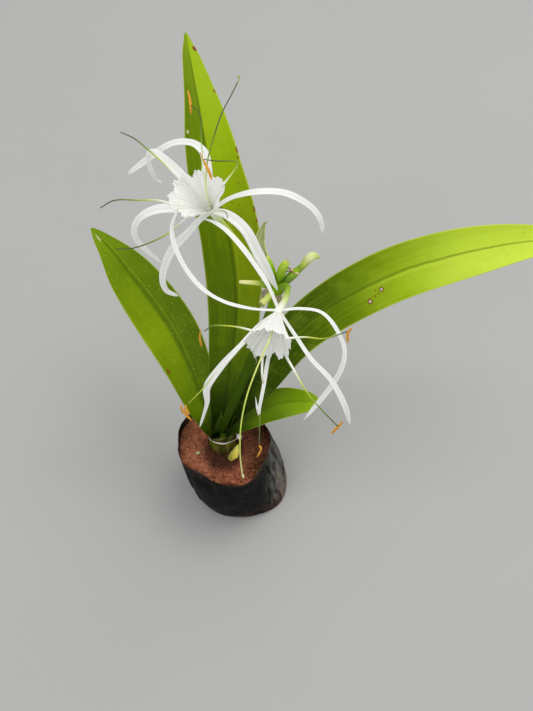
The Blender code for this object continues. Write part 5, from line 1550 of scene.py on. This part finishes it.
BUDS = {
    "bud_slender": {
        "points": from_knob((-0.20, 0.97, 0.15), (-6, 17, 3), (-7.5, 23, 4)),
        "radii": ((0.0, 1.6), (0.3, 2.4), (0.6, 2.9), (0.85, 2.0), (0.97, 1.0), (1.0, 0.4)),
        "stops": ((0.0, (96, 138, 0)), (0.5, (138, 182, 4)), (0.85, (162, 200, 20)),
                  (1.0, (206, 222, 90))),
    },
    "bud_ovoid": {
        "points": from_knob((0.15, 0.72, 0.68), (3.4, 12, 9.5), (7, 18.5, 11.5)),
        "radii": ((0.0, 1.8), (0.2, 2.6), (0.45, 3.4), (0.75, 3.2), (0.92, 2.5), (1.0, 1.5)),
        "stops": ((0.0, (88, 124, 0)), (0.4, (132, 172, 2)), (0.8, (164, 196, 24)),
                  (0.94, (196, 208, 84)), (1.0, (176, 170, 92))),
    },
    "bud_clubbed": {
        "points": from_knob((0.85, 0.42, 0.18), (10, 8, 3), (17, 14, 6), (22.5, 20, 8), (26.5, 22.2, 8),
                            (30.0, 20.6, 7.5)),
        "radii": ((0.0, 2.3), (0.22, 3.1), (0.4, 2.9), (0.48, 2.3), (0.62, 2.5), (0.8, 3.4), (0.92, 2.1),
                  (1.0, 0.8)),
        "stops": ((0.0, (80, 116, 0)), (0.25, (116, 156, 0)), (0.42, (152, 186, 10)),
                  (0.5, (120, 150, 4)), (0.62, (182, 200, 70)), (0.78, (222, 226, 168)),
                  (0.92, (214, 222, 130)), (1.0, (176, 200, 40))),
    },
    "spent_tube": {
        "points": from_knob((-0.60, -0.65, 0.45), (-8, -9, 6), (-12, -13, 8)),
        "radii": ((0.0, 1.9), (0.5, 2.3), (0.94, 2.5), (1.0, 2.1)),
        "stops": ((0.0, (128, 168, 20)), (0.4, (188, 208, 80)), (0.93, (214, 222, 132)),
                  (1.0, (150, 150, 70))),
    },
    "bud_cream": {
        "points": from_knob((-0.98, 0.12, 0.12), (-14, 3, 1), (-28, 4, 1)),
        "radii": ((0.0, 2.2), (0.25, 2.5), (0.4, 1.9), (0.8, 1.5), (0.97, 1.1), (1.0, 0.6)),
        "stops": ((0.0, (104, 146, 0)), (0.34, (140, 178, 8)), (0.5, (222, 228, 110)),
                  (0.7, (250, 244, 160)), (1.0, (255, 246, 190))),
    },
}

BRACTS = {
    "spathe_upright": {
        "points": from_knob((-0.40, 0.80, -0.45), (-10, 20, -8), (-13, 34, -8), (-10, 46, -6),
                            (-7.5, 49, -5)),
        "widths": ((0.0, 4.0), (0.4, 7.8), (0.75, 6.4), (0.93, 2.4), (1.0, 0.7)),
        "face": (0.0, 0.0, 1.0), "curl": 1.0, "paper": "spathe_olive",
    },
    "spathe_left": {
        "points": from_knob((-0.80, -0.30, -0.50), (-10, -5, -8), (-11, -12, -13)),
        "widths": ((0.0, 3.5), (0.5, 5.0), (0.85, 3.0), (1.0, 1.0)),
        "face": (-0.4, 0.3, 0.8), "curl": 1.25, "paper": "spathe_brown",
    },
    "spathe_lower": {
        "points": from_knob((0.20, -0.90, -0.35), (2, -12, -4), (2, -20, -9)),
        "widths": ((0.0, 3.5), (0.5, 5.6), (0.85, 3.4), (1.0, 1.0)),
        "face": (0.0, 0.3, 1.0), "curl": 1.15, "paper": "spathe_brown",
    },
}

COLLAR_SCALES = (
    ((5.5, 10.5, 5.5), (8.5, 11.5, 6.5), (12.0, 10.0, 6.5), (15.5, 9.5, 7.5)),
    ((6.0, 13.0, 3.0), (8.5, 13.5, 5.0), (11.0, 11.5, 6.5)),
)
COLLAR_RADII = ((0.0, 0.3), (0.5, 0.5), (0.85, 0.7), (1.0, 0.3))
COLLAR_STOPS = ((0.0, (96, 60, 24)), (0.6, (132, 84, 40)), (0.85, (240, 204, 170)), (1.0, (250, 224, 200)))
COLLAR_MESH = (24, 8)
BUD_MESH = (64, 30)
BRACT_THICKNESS = 0.4
# The middle, the margin and the patches of each kind of bract
PAPERS = {
    "spathe_brown": ((168, 158, 122), (208, 200, 160), (108, 88, 56)),
    "spathe_olive": ((150, 156, 108), (204, 216, 120), (128, 134, 84)),
}


def add_collar(material):
    """The two dry hairs at the clubbed bud's collar."""
    builder = Builder()
    for points in COLLAR_SCALES:
        add_rod(builder, points, COLLAR_RADII, *COLLAR_MESH, from_head(UMBEL_CENTRE))
    add_piece("bud_collar", builder, material, "bud", "bud_clubbed")


def add_buds():
    """Three green buds, a cream one and the tube of a spent flower, each faintly ribbed."""
    for name, bud in BUDS.items():
        builder = Builder()
        add_rod(builder, bud["points"], bud["radii"], *BUD_MESH, from_head(UMBEL_CENTRE), ribs=6,
                rib_depth=0.055)
        slot = "cream" if name == "bud_cream" else "bud"
        add_piece(name + "_form", builder, bud_material(name + "_green", bud["stops"]), slot, name)


def bud_material(name, stops):
    graph = Graph(name, roughness=0.42, Subsurface_Weight=0.08, Subsurface_Scale=0.003)
    ribs = graph.fibres(9.0, 2.5, 3.0)
    graph.colour = graph.ramp(graph.v, stops)
    graph.mottle(ribs, 0.50, 0.30, 0.35, (112, 148, 10))
    graph.mottle(graph.noise(graph.place, 260.0, 3.0), 0.58, 0.72, 0.25, (226, 228, 120))
    return graph.finish(graph.bump(ribs, 0.4, 0.35))


def add_bracts():
    """The papery bracts, each a curled and crinkled blade."""
    place = from_head(UMBEL_CENTRE)
    papers = {paper: bract_material(paper, *tones) for paper, tones in PAPERS.items()}
    rows, columns = 56, 16
    spread = np.linspace(-1.0, 1.0, columns + 1)[None, :]
    along = np.linspace(0.0, 1.0, rows)[:, None]
    crinkle = (0.22 * np.sin(13.0 * spread) * np.sin(9.0 * along)
               + 0.3 * np.sin(17.0 * along) * spread ** 2)
    for name, bract in BRACTS.items():
        route = even_route(bract["points"], rows)
        normals = carried_normals(route, bract["face"], 10.0 * np.sin(4.0 * along[:, 0]))
        points, places, under = blade_grid(route, normals, smooth_profile(bract["widths"], rows),
                                           bract["curl"], BRACT_THICKNESS, columns, edge=0.6,
                                           ripple=crinkle)
        add_grid(name + "_bract", papers[bract["paper"]], "spathe", name, place(points), places, under)


def bract_material(name, middle, margin, patches):
    graph = Graph(name, roughness=0.7)
    fibres = graph.fibres(24.0, 2.0, 4.0, 0.6)
    away = graph.work("ABSOLUTE", graph.work("SUBTRACT", graph.u, 0.5))
    graph.colour = graph.mix(graph.fade(away, 0.34, 0.48), middle, margin)
    graph.mottle(fibres, 0.42, 0.70, 0.45, margin)
    graph.mottle(graph.noise(graph.place, 190.0, 3.0), 0.50, 0.68, 0.6, patches)
    return graph.finish(graph.bump(fibres, 0.6, 0.4))


def add_blooms():
    petal, funnel, anther = tepal_material(), funnel_material(), anther_material()
    short_filament = filament_material("filament_short", SHORT_STOPS)
    for name, design in BLOOMS.items():
        side = name.removeprefix("bloom")
        add_tube(name, design, tube_material("tube" + side, design["tube_stops"]))
        add_corona(name, design, funnel)
        add_tepals(name, design, petal)
        filament = filament_material("filament" + side, design["filament_stops"])
        add_stamens(name, design, filament, short_filament, anther)
        add_style(name, design, filament_material("style" + side, design["style_stops"]))


def main():
    add_camera()
    add_floor()
    add_light()
    add_bag(film_material())
    earth = soil_material()
    add_soil(earth)
    add_crumbs(earth)
    add_scrap(scrap_material())
    add_neck(neck_material())
    add_band(band_material("band_pink", (222, 204, 190), (246, 240, 230), (190, 158, 142)))
    add_knot(band_material("knot_white", (246, 242, 234), (254, 254, 250), (228, 214, 198)))
    add_dead_sheath(dry_material())
    for name, design in LEAVES.items():
        add_leaf(name, design, leaf_material(name, LEAF_LOOKS[name]))
    add_scape(scape_material())
    add_blooms()
    add_buds()
    add_collar(filament_material("collar_brown", COLLAR_STOPS))
    add_bracts()


main()
